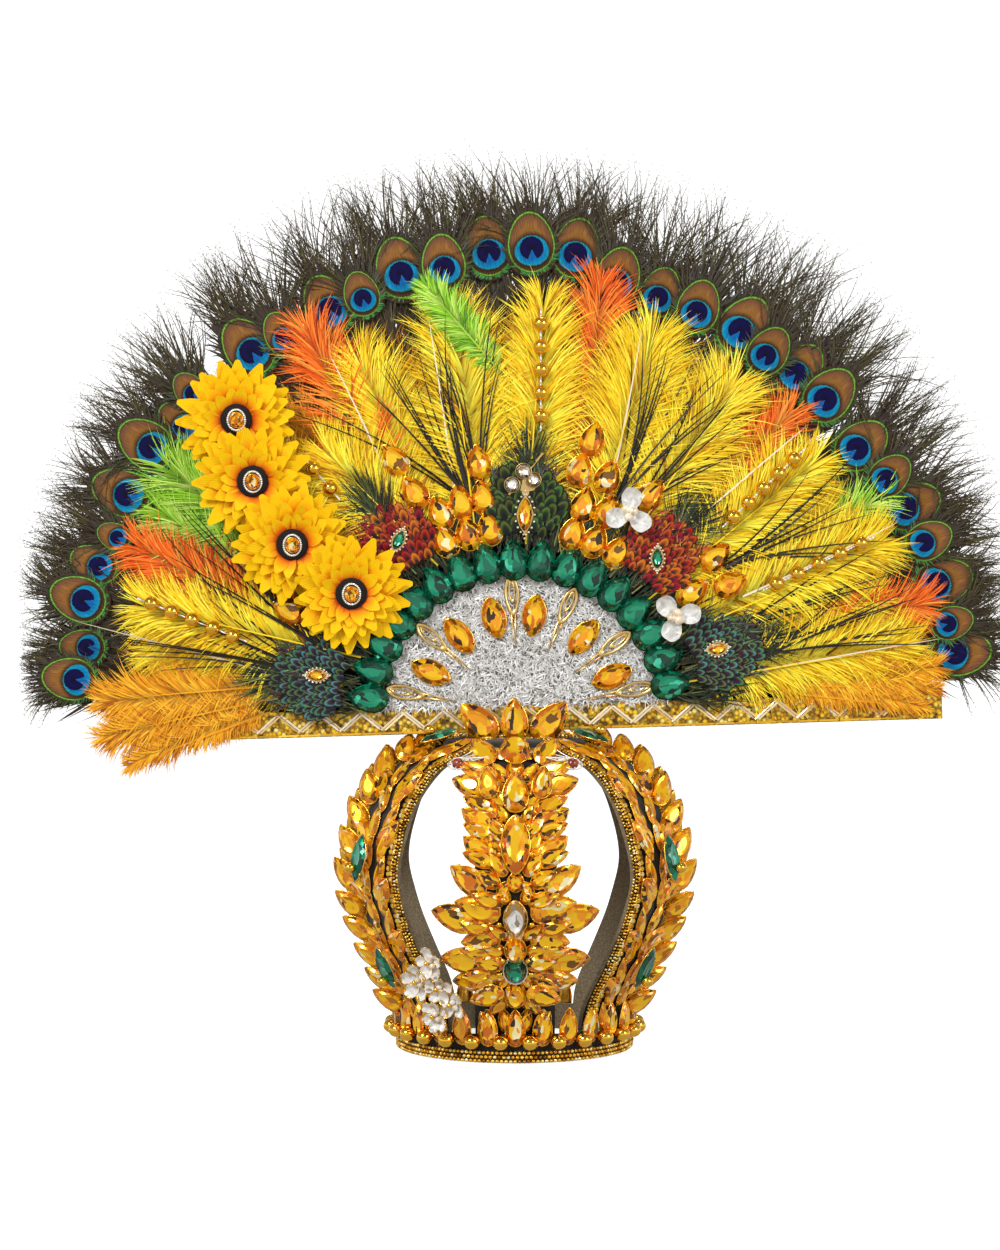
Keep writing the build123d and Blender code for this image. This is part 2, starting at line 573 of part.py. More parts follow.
def peacock_fringe():
    """Long peacock feathers round the rim, each lock with its raised eye."""
    root_radius = (ROOT_INNER_RADIUS + ROOT_OUTER_RADIUS) / 2
    pieces = [half_ring(ROOT_OUTER_RADIUS, ROOT_INNER_RADIUS, 0, LAYER_THICKNESS)]
    step = (EYE_LAST_ANGLE - EYE_FIRST_ANGLE) / (EYE_COUNT - 1)
    eye = extrude(Ellipse(EYE_WIDTH / 2, EYE_LENGTH / 2), EYE_DEPTH_SHARE * LAYER_THICKNESS)
    eye_out = LAYER_THICKNESS * (1 - EYE_DEPTH_SHARE)
    for i in range(EYE_COUNT):
        angle = EYE_FIRST_ANGLE + i * step
        reach = FRINGE_SIDE_REACH + (FRINGE_TOP_REACH - FRINGE_SIDE_REACH) * sin(radians(angle))
        thickness = LAYER_THICKNESS * FRINGE_THICKNESSES[i % 2]
        root, tip = spoke(angle, root_radius), spoke(angle, reach)
        pieces.append(lock_between(root, tip, FRINGE_LOCK_WIDTH, thickness))
        x, y = spoke(angle, EYE_RING_RADIUS)
        pieces.append(Pos(x, y, eye_out) * Rot(0, 0, angle - 90) * eye)
    fringe = (Part() + pieces) & Pos(0, fan_floor, 0) * above_bar
    write("peacock_fringe", fan_frame * Pos(0, 0, level(0)) * fringe.solid())


def board_and_bar():
    board = Pos(0, 0, -BOARD_THICKNESS / 2) * half_disc_to_foot(BOARD_RADIUS, BOARD_THICKNESS)
    write("fan_board", fan_frame * board)
    depth = bar_front - level(0)
    bar = Box(BAR_LENGTH, BAR_HEIGHT, depth, align=(Align.CENTER, Align.MIN, Align.MIN))
    write("fan_bar", fan_frame * Pos(BAR_ASIDE, 0, level(0)) * bar)
    disc = half_ring(DISC_RADIUS, 0, level(0), depth)
    write("silver_disc", fan_frame * disc)


def half_disc_to_foot(radius, thickness):
    flat = Pos(FAN_CENTRE_ASIDE, FAN_CENTRE_UP) * Circle(radius)
    above = Rectangle(3 * radius, 3 * radius, align=(Align.CENTER, Align.MIN))
    return extrude(flat & above, thickness)


def post():
    """A plain bracket that holds the board up from the cap."""
    back = BOARD_THICKNESS / 2 + FIT_GAP
    foot_z = FAN_BASE_Z + FIT_GAP
    upright = Box(POST_WIDTH, POST_THICKNESS, POST_HEIGHT, align=(Align.CENTER, Align.MIN, Align.MIN))
    foot = Box(POST_WIDTH, POST_FOOT_DEPTH, POST_THICKNESS, align=(Align.CENTER, Align.MIN, Align.MIN))
    write("fan_post", Pos(0, back, foot_z) * (upright + foot).solid())


def fan_jewels():
    step = (EMERALD_LAST_ANGLE - EMERALD_FIRST_ANGLE) / (EMERALD_COUNT - 1)
    emerald = cut_stone(PEAR, EMERALD_LENGTH, EMERALD_WIDTH, EMERALD_DEPTH)
    angles = [EMERALD_FIRST_ANGLE + i * step for i in range(EMERALD_COUNT)]
    write("emerald_arc", *[on_fan(a, EMERALD_RING_RADIUS, jewel_level) * emerald for a in angles])
    navette = cut_stone(NAVETTE, NAVETTE_LENGTH, NAVETTE_WIDTH, NAVETTE_DEPTH)
    radius = DISC_NAVETTE_SHARE * DISC_RADIUS
    write("disc_navettes", *[on_fan(a, radius, level(front_layer)) * navette for a in DISC_NAVETTES])
    length = (FILIGREE_OUTER_SHARE - FILIGREE_INNER_SHARE) * DISC_RADIUS
    middle = (FILIGREE_OUTER_SHARE + FILIGREE_INNER_SHARE) / 2 * DISC_RADIUS
    leaf = cut_stone(NAVETTE, length, FILIGREE_WIDTH, FILIGREE_DEPTH)
    write("gold_filigree", *[on_fan(a, middle, level(front_layer)) * leaf for a in FILIGREE])
    stone = cut_stone(PEAR, CLUSTER_LENGTH, CLUSTER_WIDTH, CLUSTER_DEPTH)
    for name, table in (("cluster_left", CLUSTER_LEFT), ("cluster_right", CLUSTER_RIGHT)):
        places = [(angle, lowest_row + up * CLUSTER_LENGTH, lean) for angle, up, lean in table]
        write(name, *[on_fan(angle, radius, jewel_level, lean) * stone for angle, radius, lean in places])
    crest = []
    for aside, up, lean, size in CREST:
        leaf = cut_stone(PEAR, size * LEAF_LENGTH, size * LEAF_WIDTH, LEAF_DEPTH)
        place = Pos(aside * LEAF_LENGTH, up * LEAF_LENGTH, CAP_RADIUS + 2 * FIT_GAP)
        crest.append(fan_frame * place * Rot(0, 0, -lean) * leaf)
    write("crest_stones", *crest)


def sunflowers():
    """Four silk sunflowers in a row, each leaning so that it laps over the one before."""
    first, last = SUNFLOWERS[0], SUNFLOWERS[-1]
    row = Vector(*spoke(last[0], last[1])) - Vector(*spoke(first[0], first[1]))
    toward = heading(row) + 90
    seat = EMERALD_DEPTH + FIT_GAP + FLOWER_RADIUS * sin(radians(FLOWER_LEAN))
    stem_drop = FLOWER_STEM_RADIUS * sin(radians(FLOWER_LEAN))
    stem_length = (seat - stem_drop) / cos(radians(FLOWER_LEAN))
    stem = Cylinder(FLOWER_STEM_RADIUS, stem_length, align=(Align.CENTER, Align.CENTER, Align.MAX))
    upper_size, upper_turn, upper_out = UPPER_PETALS
    upper = petal_ring(upper_size, upper_turn, upper_out * PETAL_THICKNESS)
    centre = Cylinder(
        FLOWER_CENTRE_RADIUS, FLOWER_CENTRE_DEPTH, align=(Align.CENTER, Align.CENTER, Align.MIN)
    )
    flower = (Part() + [stem, petal_ring(1.0, 0, 0), upper, centre]).solid()
    jewel = cut_stone(OVAL, FLOWER_JEWEL_LENGTH, FLOWER_JEWEL_WIDTH, FLOWER_JEWEL_DEPTH)
    jewel = Pos(0, 0, FLOWER_CENTRE_DEPTH + FIT_GAP) * jewel
    jewels = []
    for i, (angle, share) in enumerate(SUNFLOWERS):
        x, y = spoke(angle, share * PLUME_REACH)
        lean = Rot(0, 0, toward) * Rot(0, FLOWER_LEAN, 0) * Rot(0, 0, -toward)
        place = fan_frame * Pos(x, y, jewel_level + seat) * lean
        write(f"sunflower_{i + 1}", place * flower)
        jewels.append(place * jewel)
    write("sunflower_jewels", *jewels)


def petal_ring(size, turn, out):
    """A star of petals: sharp tips at the flower's radius and valleys between them."""
    points = []
    for i in range(2 * FLOWER_PETALS):
        angle = radians((i + 2 * turn) * 180 / FLOWER_PETALS)
        radius = size * FLOWER_RADIUS * (PETAL_VALLEY_SHARE if i % 2 else 1.0)
        points.append((radius * cos(angle), radius * sin(angle)))
    return Pos(0, 0, out) * extrude(make_face(Polyline(*points, close=True)), PETAL_THICKNESS)


def patches_and_brooches():
    for i, (angle, lean) in enumerate(PATCHES):
        patch = lock(PATCH_LENGTH, PATCH_WIDTH, LAYER_THICKNESS)
        write(f"peacock_patch_{i + 1}", on_fan(angle, emerald_edge, jewel_level, lean) * patch)
    out = jewel_level + LAYER_THICKNESS + FIT_GAP
    rims, stones = [], []
    for i, (angle, up, length, width, lean) in enumerate(BROOCHES):
        length, width = length * NAVETTE_LENGTH, width * NAVETTE_LENGTH
        inner_length, inner_width = length - 4 * BROOCH_RIM, width - 2 * BROOCH_RIM
        stone = cut_stone(NAVETTE, inner_length, inner_width, 2 * BROOCH_DEPTH)
        hole = mirrored_outline(NAVETTE, inner_width + FIT_GAP, inner_length + FIT_GAP)
        outside = make_face(Polyline(*mirrored_outline(NAVETTE, width, length), close=True))
        rim = extrude(outside - make_face(Polyline(*hole, close=True)), BROOCH_DEPTH)
        if i == 0:
            rim = rim + brooch_spray(length)
        place = on_fan(angle, emerald_edge + up * PATCH_LENGTH, out, lean)
        rims.append(place * rim.solid())
        stones.append(place * stone)
    write("brooches", *rims)
    write("brooch_stones", *stones)


def brooch_spray(length):
    """A gold blossom at the head of the middle brooch, with a stem across it."""
    length_up = length / 2 + BLOSSOM_PETAL_WIDTH
    blossom = flower_of_petals(BLOSSOM_PETALS, BLOSSOM_PETAL_LENGTH, BLOSSOM_PETAL_WIDTH, BROOCH_DEPTH, 0)
    stem = Rot(0, 0, BROOCH_STEM_LEAN) * Box(BROOCH_RIM, BROOCH_STEM_LENGTH, BROOCH_DEPTH / 2)
    stem = Pos(0, BROOCH_STEM_LENGTH / 4, BROOCH_DEPTH / 2) * stem
    return Pos(0, length_up, 0) * (blossom + stem)


def pearl_flowers():
    flower = flower_of_petals(3, PEARL_PETAL_LENGTH, PEARL_PETAL_WIDTH, PEARL_PETAL_DEPTH, 3).solid()
    out = jewel_level + max(EMERALD_DEPTH, CLUSTER_DEPTH) + FIT_GAP
    for i, (angle, up, lean) in enumerate(PEARL_FLOWERS):
        place = on_fan(angle, lowest_row + up * CLUSTER_LENGTH, out, lean)
        write(f"pearl_flower_{i + 1}", place * flower)


def bead_strings():
    """Gold beads on short threads, lying on the front plumes."""
    radius = STRING_BEAD_DIAMETER / 2
    hole = Cylinder(THREAD_DIAMETER / 2 + THREAD_CLEARANCE, 3 * radius, rotation=(90, 0, 0))
    bead = (Sphere(radius) - hole).solid()
    for i, (angle_in, share_in, angle_out, share_out, count) in enumerate(BEAD_STRINGS):
        inner = Vector(*spoke(angle_in, share_in * PLUME_REACH))
        outer = Vector(*spoke(angle_out, share_out * PLUME_REACH))
        line = outer - inner
        place = fan_frame * Pos(inner.X, inner.Y, jewel_level + radius)
        place = place * Rot(0, 0, heading(line))
        pitch = line.length / (count - 1)
        write(f"bead_string_{i + 1}", *[place * Pos(0, pitch * k, 0) * bead for k in range(count)])
        thread = Cylinder(THREAD_DIAMETER / 2, line.length + 2 * STRING_BEAD_DIAMETER, rotation=(90, 0, 0))
        write(f"bead_thread_{i + 1}", place * Pos(0, line.length / 2, 0) * thread)


band()
band_stones()
strips()
front_stones("front_stones_upper", FRONT_PAIRS_UPPER, FRONT_MIDDLE_UPPER)
front_stones("front_stones_lower", FRONT_PAIRS_LOWER, FRONT_MIDDLE_LOWER)
for strip_name, strip_azimuth in STRIP_AZIMUTHS.items():
    if strip_name != "front":
        strip_stones(strip_name, strip_azimuth)
band_flowers()
board_and_bar()
post()
peacock_fringe()
feather_layer("gold_plumes", GOLD_PLUMES)
feather_layer("green_plumes", GREEN_PLUMES)
feather_layer("orange_plumes", ORANGE_PLUMES)
feather_layer("yellow_back", YELLOW_BACK_PLUMES)
feather_layer("yellow_front", YELLOW_FRONT_PLUMES)
fan_jewels()
sunflowers()
patches_and_brooches()
pearl_flowers()
bead_strings()
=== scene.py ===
# %% [markdown]
# A carnival feather crown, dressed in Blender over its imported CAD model. The model is loaded first and
# never moved: everything made here is placed from its nodes. The crown has no joints, so every piece
# rides on the one body, root. Lengths are in metres, the front of the crown faces -Y.

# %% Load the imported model
from math import atan2, cos, degrees, pi, radians, sin, sqrt

import bpy
import numpy as np
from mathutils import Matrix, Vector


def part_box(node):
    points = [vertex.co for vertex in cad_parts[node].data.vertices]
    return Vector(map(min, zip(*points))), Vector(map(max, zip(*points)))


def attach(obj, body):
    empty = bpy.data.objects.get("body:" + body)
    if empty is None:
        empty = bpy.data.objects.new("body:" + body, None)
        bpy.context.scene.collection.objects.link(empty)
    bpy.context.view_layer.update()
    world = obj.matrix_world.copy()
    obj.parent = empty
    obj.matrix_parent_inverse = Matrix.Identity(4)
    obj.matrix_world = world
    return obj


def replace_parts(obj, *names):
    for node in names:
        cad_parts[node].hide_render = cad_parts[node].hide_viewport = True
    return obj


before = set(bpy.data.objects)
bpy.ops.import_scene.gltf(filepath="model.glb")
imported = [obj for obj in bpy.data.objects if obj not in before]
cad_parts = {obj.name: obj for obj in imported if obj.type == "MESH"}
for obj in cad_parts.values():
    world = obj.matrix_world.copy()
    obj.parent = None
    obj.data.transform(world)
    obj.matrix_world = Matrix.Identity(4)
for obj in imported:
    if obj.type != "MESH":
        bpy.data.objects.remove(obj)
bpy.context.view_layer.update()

MM = 0.001
random = np.random.default_rng(31)

# %% [markdown]
# The photograph was taken from straight in front, level with the lower part of the fan, with a lens
# that sees 27 degrees from top to bottom. The camera comes first, because every look is judged in it.

# %% Camera
CAMERA_PLACE = (-0.012, -2.15, 0.346)
CAMERA_HEIGHT_ANGLE = 27.0

bpy.ops.object.select_all(action="DESELECT")
bpy.ops.object.camera_add(location=CAMERA_PLACE, rotation=(pi / 2, 0, 0))
camera = bpy.context.object
camera.data.sensor_fit = "VERTICAL"
camera.data.angle_y = radians(CAMERA_HEIGHT_ANGLE)
bpy.context.scene.camera = camera
bpy.context.scene.view_settings.view_transform = "Standard"

# %% [markdown]
# Colours are written as sRGB hex values, as a colour picker shows them, and one function turns them to
# the linear values that the shaders use. One function adds a shader node with its settings, values and
# links, and two more set the Principled shader of a material and dim a colour by a measured value.

# %% Colour and shader helpers
def linear(hex_colour):
    """An sRGB hex colour as linear RGBA."""
    channels = [int(hex_colour[i:i + 2], 16) / 255 for i in (1, 3, 5)]
    return (*[c / 12.92 if c <= 0.04045 else ((c + 0.055) / 1.055) ** 2.4 for c in channels], 1.0)


def set_sockets(material, node, sockets):
    """Sets a node's sockets: a node or a node's output is linked, and anything else is a value."""
    for name, value in sockets.items():
        if isinstance(value, bpy.types.Node):
            value = next(output for output in value.outputs if output.enabled)
        if isinstance(value, bpy.types.NodeSocket):
            material.node_tree.links.new(value, node.inputs[name])
        else:
            node.inputs[name].default_value = value


def add_node(material, kind, sockets=None, stops=None, **settings):
    """A shader node with its settings, its sockets' values and links, and a ramp's colour stops."""
    node = material.node_tree.nodes.new("ShaderNode" + kind)
    for name, value in settings.items():
        setattr(node, name, value)
    set_sockets(material, node, sockets or {})
    if stops:
        ramp = node.color_ramp.elements
        while len(ramp) < len(stops):
            ramp.new(1.0)
        for element, (place, colour) in zip(ramp, stops):
            element.position, element.color = place, linear(colour)
    return node


def new_material(name):
    """A material with only an output and a Principled shader."""
    material = bpy.data.materials.new(name)
    material.use_nodes = True
    return material


def finished(material, sockets):
    """The material, with sockets of its Principled shader set or linked."""
    set_sockets(material, material.node_tree.nodes["Principled BSDF"], sockets)
    return material


def dimmed(material, colour, value, value_range, strength_range):
    """A colour times a value, which is first moved from its own range to a range of strength."""
    strength = add_node(
        material, "MapRange",
        {
            "Value": value, "From Min": value_range[0], "From Max": value_range[1],
            "To Min": strength_range[0], "To Max": strength_range[1],
        },
    )
    sockets = {"Factor": 1.0, "A": colour, "B": strength}
    return add_node(material, "Mix", sockets, data_type="RGBA", blend_type="MULTIPLY")


# %% [markdown]
# The studio: a pale paper floor, a white backdrop, and soft lamps from the front and above. The piece
# itself is lit by a greyer room with a bright band at eye level, as in a photographer's tent with dark
# gaps, because metal and cut glass need both light and dark to mirror.

# %% Floor, surround and lamps
FLOOR_SIZE = 14.0
bpy.ops.mesh.primitive_plane_add(size=FLOOR_SIZE, location=(0, 0, -0.0005))
floor = bpy.context.object
floor.name = "studio_floor"
bpy.ops.object.transform_apply(location=True, rotation=True, scale=True)
paper = finished(new_material("white_paper_sweep"), {
    "Base Color": linear("#f6f6f6"), "Roughness": 0.9, "Emission Color": linear("#ffffff"),
    "Emission Strength": 0.7,
})
floor.data.materials.append(paper)
floor.visible_diffuse = False
floor.visible_glossy = False

world = bpy.data.worlds.new("studio_surround")
bpy.context.scene.world = world
world.use_nodes = True
background = world.node_tree.nodes["Background"]
direction = add_node(world, "TexCoord")
height = add_node(world, "SeparateXYZ", {"Vector": direction.outputs["Generated"]})
level = add_node(world, "MapRange", {"Value": height.outputs["Z"], "From Min": -1.0})
room = add_node(
    world, "ValToRGB", {"Fac": level},
    stops=[(0.0, "#a8a69f"), (0.46, "#b8b8b6"), (0.54, "#ffffff"), (0.66, "#9c9ea2"), (1.0, "#888b90")],
)
seen = add_node(world, "LightPath")
backdrop = add_node(
    world, "Mix", {"Factor": seen.outputs["Is Camera Ray"], "A": room, "B": linear("#ffffff")},
    data_type="RGBA",
)
set_sockets(world, background, {"Color": backdrop, "Strength": 1.2})

# Each lamp: name, place, size, watts
LAMPS = (
    ("key_lamp", (-1.3, -1.9, 1.9), 0.7, 50), ("fill_lamp", (1.7, -1.6, 1.1), 0.9, 19),
    ("top_lamp", (0.2, 0.5, 2.4), 0.8, 22),
)
for name, place, size, watts in LAMPS:
    bpy.ops.object.light_add(type="AREA", location=place)
    lamp = bpy.context.object
    lamp.name, lamp.data.size, lamp.data.energy = name, size, watts
    to_crown = np.array((0.0, 0.0, 0.4)) - np.array(place)
    lamp.rotation_euler = (atan2(np.hypot(*to_crown[:2]), -to_crown[2]), 0, atan2(-to_crown[0], to_crown[1]))


# %% [markdown]
# The fan leans a little, so places on it are given as the maker would: by the angle round the fan from
# the bar, the distance from the fan's centre, and how far out in front. The bar's foot gives the lean,
# and the arc of green stones gives the centre.

# %% Read the fan's own frame off the model
def points_of(node):
    """The points of a CAD node as an array."""
    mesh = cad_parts[node].data
    flat = np.empty(3 * len(mesh.vertices), np.float32)
    mesh.vertices.foreach_get("co", flat)
    return flat.reshape(-1, 3).astype(float)


def middle_of(points):
    """The middle of the box round some points."""
    return (points.min(axis=0) + points.max(axis=0)) / 2


def triangles_of(node):
    """The triangles of a CAD node as an array of point numbers."""
    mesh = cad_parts[node].data
    mesh.calc_loop_triangles()
    flat = np.empty(3 * len(mesh.loop_triangles), np.int32)
    mesh.loop_triangles.foreach_get("vertices", flat)
    return flat.reshape(-1, 3)


def loose_solids(node):
    """The separate solids of a node: for each, its points and its triangles."""
    points, corners = np.unique(points_of(node).round(6), axis=0, return_inverse=True)
    triangles = corners.reshape(-1)[triangles_of(node)]
    group = np.arange(len(points))
    while True:
        lowest = group[triangles].min(axis=1)
        joined = group.copy()
        for corner in range(3):
            np.minimum.at(joined, triangles[:, corner], lowest)
        if (joined == group).all():
            break
        group = joined
    solids = []
    for number in np.unique(group[triangles[:, 0]]):
        own = triangles[group[triangles[:, 0]] == number]
        used, renumbered = np.unique(own, return_inverse=True)
        solids.append((points[used], renumbered.reshape(-1, 3)))
    return solids


bar = points_of("fan_bar")
bar_left = bar[np.argmin(bar[:, 0] + bar[:, 2])]
bar_right = bar[np.argmax(bar[:, 0] - bar[:, 2])]
fan_right = (bar_right - bar_left) / np.linalg.norm(bar_right - bar_left)
fan_up = np.array((-fan_right[2], 0.0, fan_right[0]))
fan_out = np.array((0.0, -1.0, 0.0))

arc = np.array([middle_of(points) for points, _ in loose_solids("emerald_arc")])
equations = np.column_stack((2 * arc[:, 0], 2 * arc[:, 2], np.ones(len(arc))))
centre_x, centre_z, _ = np.linalg.lstsq(equations, arc[:, 0] ** 2 + arc[:, 2] ** 2, rcond=None)[0]
fan_centre = np.array((centre_x, 0.0, centre_z))
print("fan centre", fan_centre.round(4), "lean", round(degrees(atan2(fan_right[2], fan_right[0])), 2))


def fan_xy(angle, radius):
    """A place on the fan in its own X along the bar and Y up, from the fan's centre."""
    return np.array((radius * cos(radians(angle)), radius * sin(radians(angle))))


def from_fan(places):
    """Points in the fan's own X, Y and distance out in front, as points of the model."""
    places = np.asarray(places, float)
    return fan_centre + places[..., :1] * fan_right + places[..., 1:2] * fan_up + places[..., 2:3] * fan_out


def front_of(node):
    """How far out in front a node reaches."""
    return -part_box(node)[0].y


# %% [markdown]
# Feathers are thousands of fine barbs. Each barb is a thin ribbon that tapers to its tip, bent by two
# numbers. Making them one at a time with operators would take hours, so arrays make them all at once.
# The UV map holds where a point is along its barb and a number for the barb, which the dye uses.

# %% Ribbons from arrays
def fan_piece(name, parts, material, slot_name):
    """A piece on the fan from sets of ribbons, each with points, faces and a UV pair for each point."""
    points, quads, triangles, uv = joined(parts)
    points = from_fan(points)
    mesh = bpy.data.meshes.new(name)
    loops = np.concatenate((quads.ravel(), triangles.ravel())).astype(np.int32)
    starts = np.concatenate((4 * np.arange(len(quads)), 4 * len(quads) + 3 * np.arange(len(triangles))))
    mesh.vertices.add(len(points))
    mesh.vertices.foreach_set("co", np.asarray(points, np.float32).ravel())
    mesh.loops.add(len(loops))
    mesh.loops.foreach_set("vertex_index", loops)
    mesh.polygons.add(len(starts))
    mesh.polygons.foreach_set("loop_start", starts.astype(np.int32))
    mesh.polygons.foreach_set("use_smooth", np.ones(len(starts), bool))
    layer = mesh.uv_layers.new(name="strand")
    layer.data.foreach_set("uv", np.asarray(uv, np.float32)[loops].ravel())
    mesh.update(calc_edges=True)
    mesh.validate()
    mesh.materials.append(material)
    piece = bpy.data.objects.new(name, mesh)
    bpy.context.scene.collection.objects.link(piece)
    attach(piece, "root")
    print(name, len(quads) * 2 + len(triangles), "triangles")
    return piece


def ribbons(roots, heads, bends, widths, shades, steps, tilt, taper=0.75):
    """Tapered ribbons as points, quads, triangles and UV. Heads run from root to tip, bends add a curve."""
    count = len(roots)
    bends = np.broadcast_to(bends, roots.shape)
    widths = np.broadcast_to(widths, count)
    shades = np.broadcast_to(shades, count)
    along = np.linspace(0, 1, steps + 1)[None, :, None]
    line = roots[:, None] + heads[:, None] * along + bends[:, None] * along ** 2
    run = heads[:, None] + 2 * bends[:, None] * along
    facing = np.column_stack((random.normal(0, tilt, count), random.normal(0, tilt, count), np.ones(count)))
    side = np.cross(run, facing[:, None])
    side /= np.linalg.norm(side, axis=2, keepdims=True)
    half = side * (widths[:, None, None] / 2) * (1 - taper * along ** 2)
    left, right = (line - half)[:, :-1], (line + half)[:, :-1]
    points = np.concatenate((np.stack((left, right), 2).reshape(count, 2 * steps, 3), line[:, -1:]), 1)
    first = (2 * steps + 1) * np.arange(count)[:, None]
    rung = 2 * np.arange(steps - 1)[None]
    quads = np.stack([first + rung + corner for corner in (0, 1, 3, 2)], 2).reshape(-1, 4)
    triangles = np.stack([first[:, 0] + 2 * steps + corner for corner in (-2, -1, 0)], 1)
    places = np.append(np.repeat(along[0, :-1, 0], 2), 1.0)
    uv = np.stack((np.tile(places, count), np.repeat(shades, 2 * steps + 1)), 1)
    return points.reshape(-1, 3), quads, triangles, uv


def joined(parts):
    """Several sets of ribbons as one."""
    offset, moved = 0, []
    for points, quads, triangles, uv in parts:
        moved.append((points, quads + offset, triangles + offset, uv))
        offset += len(points)
    return [np.concatenate(column) for column in zip(*moved)]


def turned(vectors, angles):
    """Vectors turned in the plane of the fan: many by one angle in radians or each by its own."""
    c, s = np.cos(angles), np.sin(angles)
    x, y, z = np.moveaxis(vectors, -1, 0)
    return np.stack((c * x - s * y, s * x + c * y, z + 0 * c), -1)


# %% [markdown]
# An ostrich plume has a quill with soft barbs on both sides. The barbs start at a wide angle near the
# root and a narrow one near the tip, and they curl away from the quill. Barbs cling together in small
# tufts, so each tuft shares a root and its barbs spread a little.

# %% Ostrich plumes
BARB_WIDTH = 1.25 * MM
TUFT_BARBS = 6


def plume(root, tip, width, back, rise, tufts):
    """The ribbons of one plume between two places on the fan, on a layer that lies back out in front."""
    quill = np.array((*(tip - root), 0.0))
    reach = np.linalg.norm(quill)
    ahead = quill / reach
    bow = random.uniform(-0.05, 0.05) * reach
    count = 2 * tufts
    place = np.sort(random.uniform(0.05, 0.97, count))
    side = np.where(np.arange(count) % 2, 1.0, -1.0)
    swell = np.interp(place, (0.0, 0.3, 0.6, 0.85, 1.0), (0.45, 0.85, 1.0, 0.85, 0.5))
    across = np.array((-ahead[1], ahead[0], 0.0))
    roots = np.array((*root, back)) + ahead * (place * reach)[:, None]
    roots += across * (4 * bow * place * (1 - place))[:, None]
    roots[:, 2] += rise * np.sin(pi * np.clip(place, 0, 1)) * 0.6
    spread = np.radians(np.interp(place, (0, 0.5, 1), (48, 38, 14))) + random.normal(0, 0.09, count)
    reach_of_barb = swell * width * random.uniform(0.62, 1.0, count)
    owner = np.repeat(np.arange(count), TUFT_BARBS)
    total = len(owner)
    angle = side[owner] * (spread[owner] + random.normal(0, 0.10, total))
    size = reach_of_barb[owner] * random.uniform(0.72, 1.06, total)
    heads = turned(ahead, angle) * size[:, None]
    heads[:, 2] = rise * random.uniform(-0.2, 1.0, total)
    curl = side[owner] * random.uniform(0.0, 0.34, total) + random.normal(0, 0.10, total)
    bends = turned(heads, pi / 2) * curl[:, None]
    bends[:, 2] = -rise * random.uniform(0.2, 1.1, total)
    starts = roots[owner] + ahead * random.normal(0, 0.8 * MM, total)[:, None]
    shades = np.clip(random.normal(0.55, 0.26, count)[owner] + random.normal(0, 0.12, total), 0.02, 0.98)
    widths = BARB_WIDTH * random.uniform(0.7, 1.3, total)
    return ribbons(starts, heads, bends, widths, shades, 4, 0.35)


def quills(lines, back, width):
    """The bare quills of a row of plumes, as ribbons."""
    roots = np.array([(*root, back) for root, _ in lines])
    heads = np.array([(*(tip - root) * 0.8, 0.0) for root, tip in lines])
    return ribbons(roots, heads, 0.0, width, 0.5, 4, 0.05)


# %% [markdown]
# The feathers are dyed in baths, so a barb is one colour from root to tip, and neighbours differ a
# little. Its number in the UV map picks its tone, and its place along the barb paints shade on the
# roots, which lie deep in the plume.

# %% Dyed barbs
def dyed_barbs_shaded_at_root(name, deep, body, light):
    """Dyed ostrich barbs: matt and soft, with painted shade darkening the roots that lie deep in the plume.
    """
    material = new_material(name)
    parts = add_node(material, "SeparateXYZ", {"Vector": add_node(material, "UVMap", uv_map="strand")})
    colour = add_node(
        material, "ValToRGB", {"Fac": parts.outputs["Y"]}, stops=[(0.05, deep), (0.45, body), (0.95, light)],
    )
    # Painted shade: the part of each barb near the quill, deep in the plume, is darkened by its place along
    # the barb.
    shaded = dimmed(material, colour, parts.outputs["X"], (0.0, 0.45), (0.5, 1.0))
    return finished(material, {
        "Base Color": shaded, "Roughness": 0.62, "Specular IOR Level": 0.3, "Sheen Weight": 0.25,
        "Sheen Roughness": 0.4,
    })


yellow_barbs = dyed_barbs_shaded_at_root("yellow_dyed_ostrich", "#c48200", "#ffd400", "#fff648")
orange_barbs = dyed_barbs_shaded_at_root("orange_dyed_ostrich", "#c04400", "#ff6a08", "#ffa23a")
gold_barbs = dyed_barbs_shaded_at_root("golden_brown_dyed_ostrich", "#8a5208", "#d68c0a", "#f4b41c")
green_barbs = dyed_barbs_shaded_at_root("lime_dyed_ostrich", "#4f8a14", "#98d428", "#d4f070")
honey_barbs = dyed_barbs_shaded_at_root("honey_dyed_ostrich", "#b86400", "#f4a20c", "#ffc62c")

# %% [markdown]
# The plumes are laid in five layers from the back to the front: golden brown, lime, orange and two of
# yellow, as the photograph shows them. Each layer takes the place of the plain solid behind it.

# %% Plume layers
# Plumes of each layer: angle of the tip, reach, angle of the root, width in plume widths
PLUME_REACH = 352.0 * MM
PLUME_WIDTH = 82.0 * MM
PLUME_ROOT = 138.0 * MM
# A quill ends short of its plume's reach, as the barbs run on past its tip, and most barbs are a little
# shorter than the plume is wide
QUILL_SHARE = 0.92
BARB_SHARE = 0.95
DROOPING_ROOT = 205.0 * MM
GOLD_PLUMES = (
    (10, 0.97, 14, 0.9), (30, 0.98, 30, 0.9), (46.5, 0.98, 45, 0.9), (61, 0.97, 61, 0.9),
    (76, 0.96, 76, 0.8), (91, 0.96, 91, 0.8), (110, 0.98, 107, 0.9), (126, 0.95, 123, 0.9),
    (141, 0.92, 140, 0.9), (156, 0.94, 157, 0.9), (171, 0.96, 168, 0.8),
)
GREEN_PLUMES = ((29, 1.08, 32, 0.7), (98.5, 1.05, 97, 0.5), (143.5, 1.12, 148, 0.95), (149, 1.06, 151, 0.8))
ORANGE_PLUMES = (
    (13.5, 1.06, 16.5, 0.75), (46, 1.03, 46, 0.75), (78, 1.12, 75, 0.8), (117.5, 1.12, 120, 0.85),
    (154.5, 1.06, 156, 0.8),
)
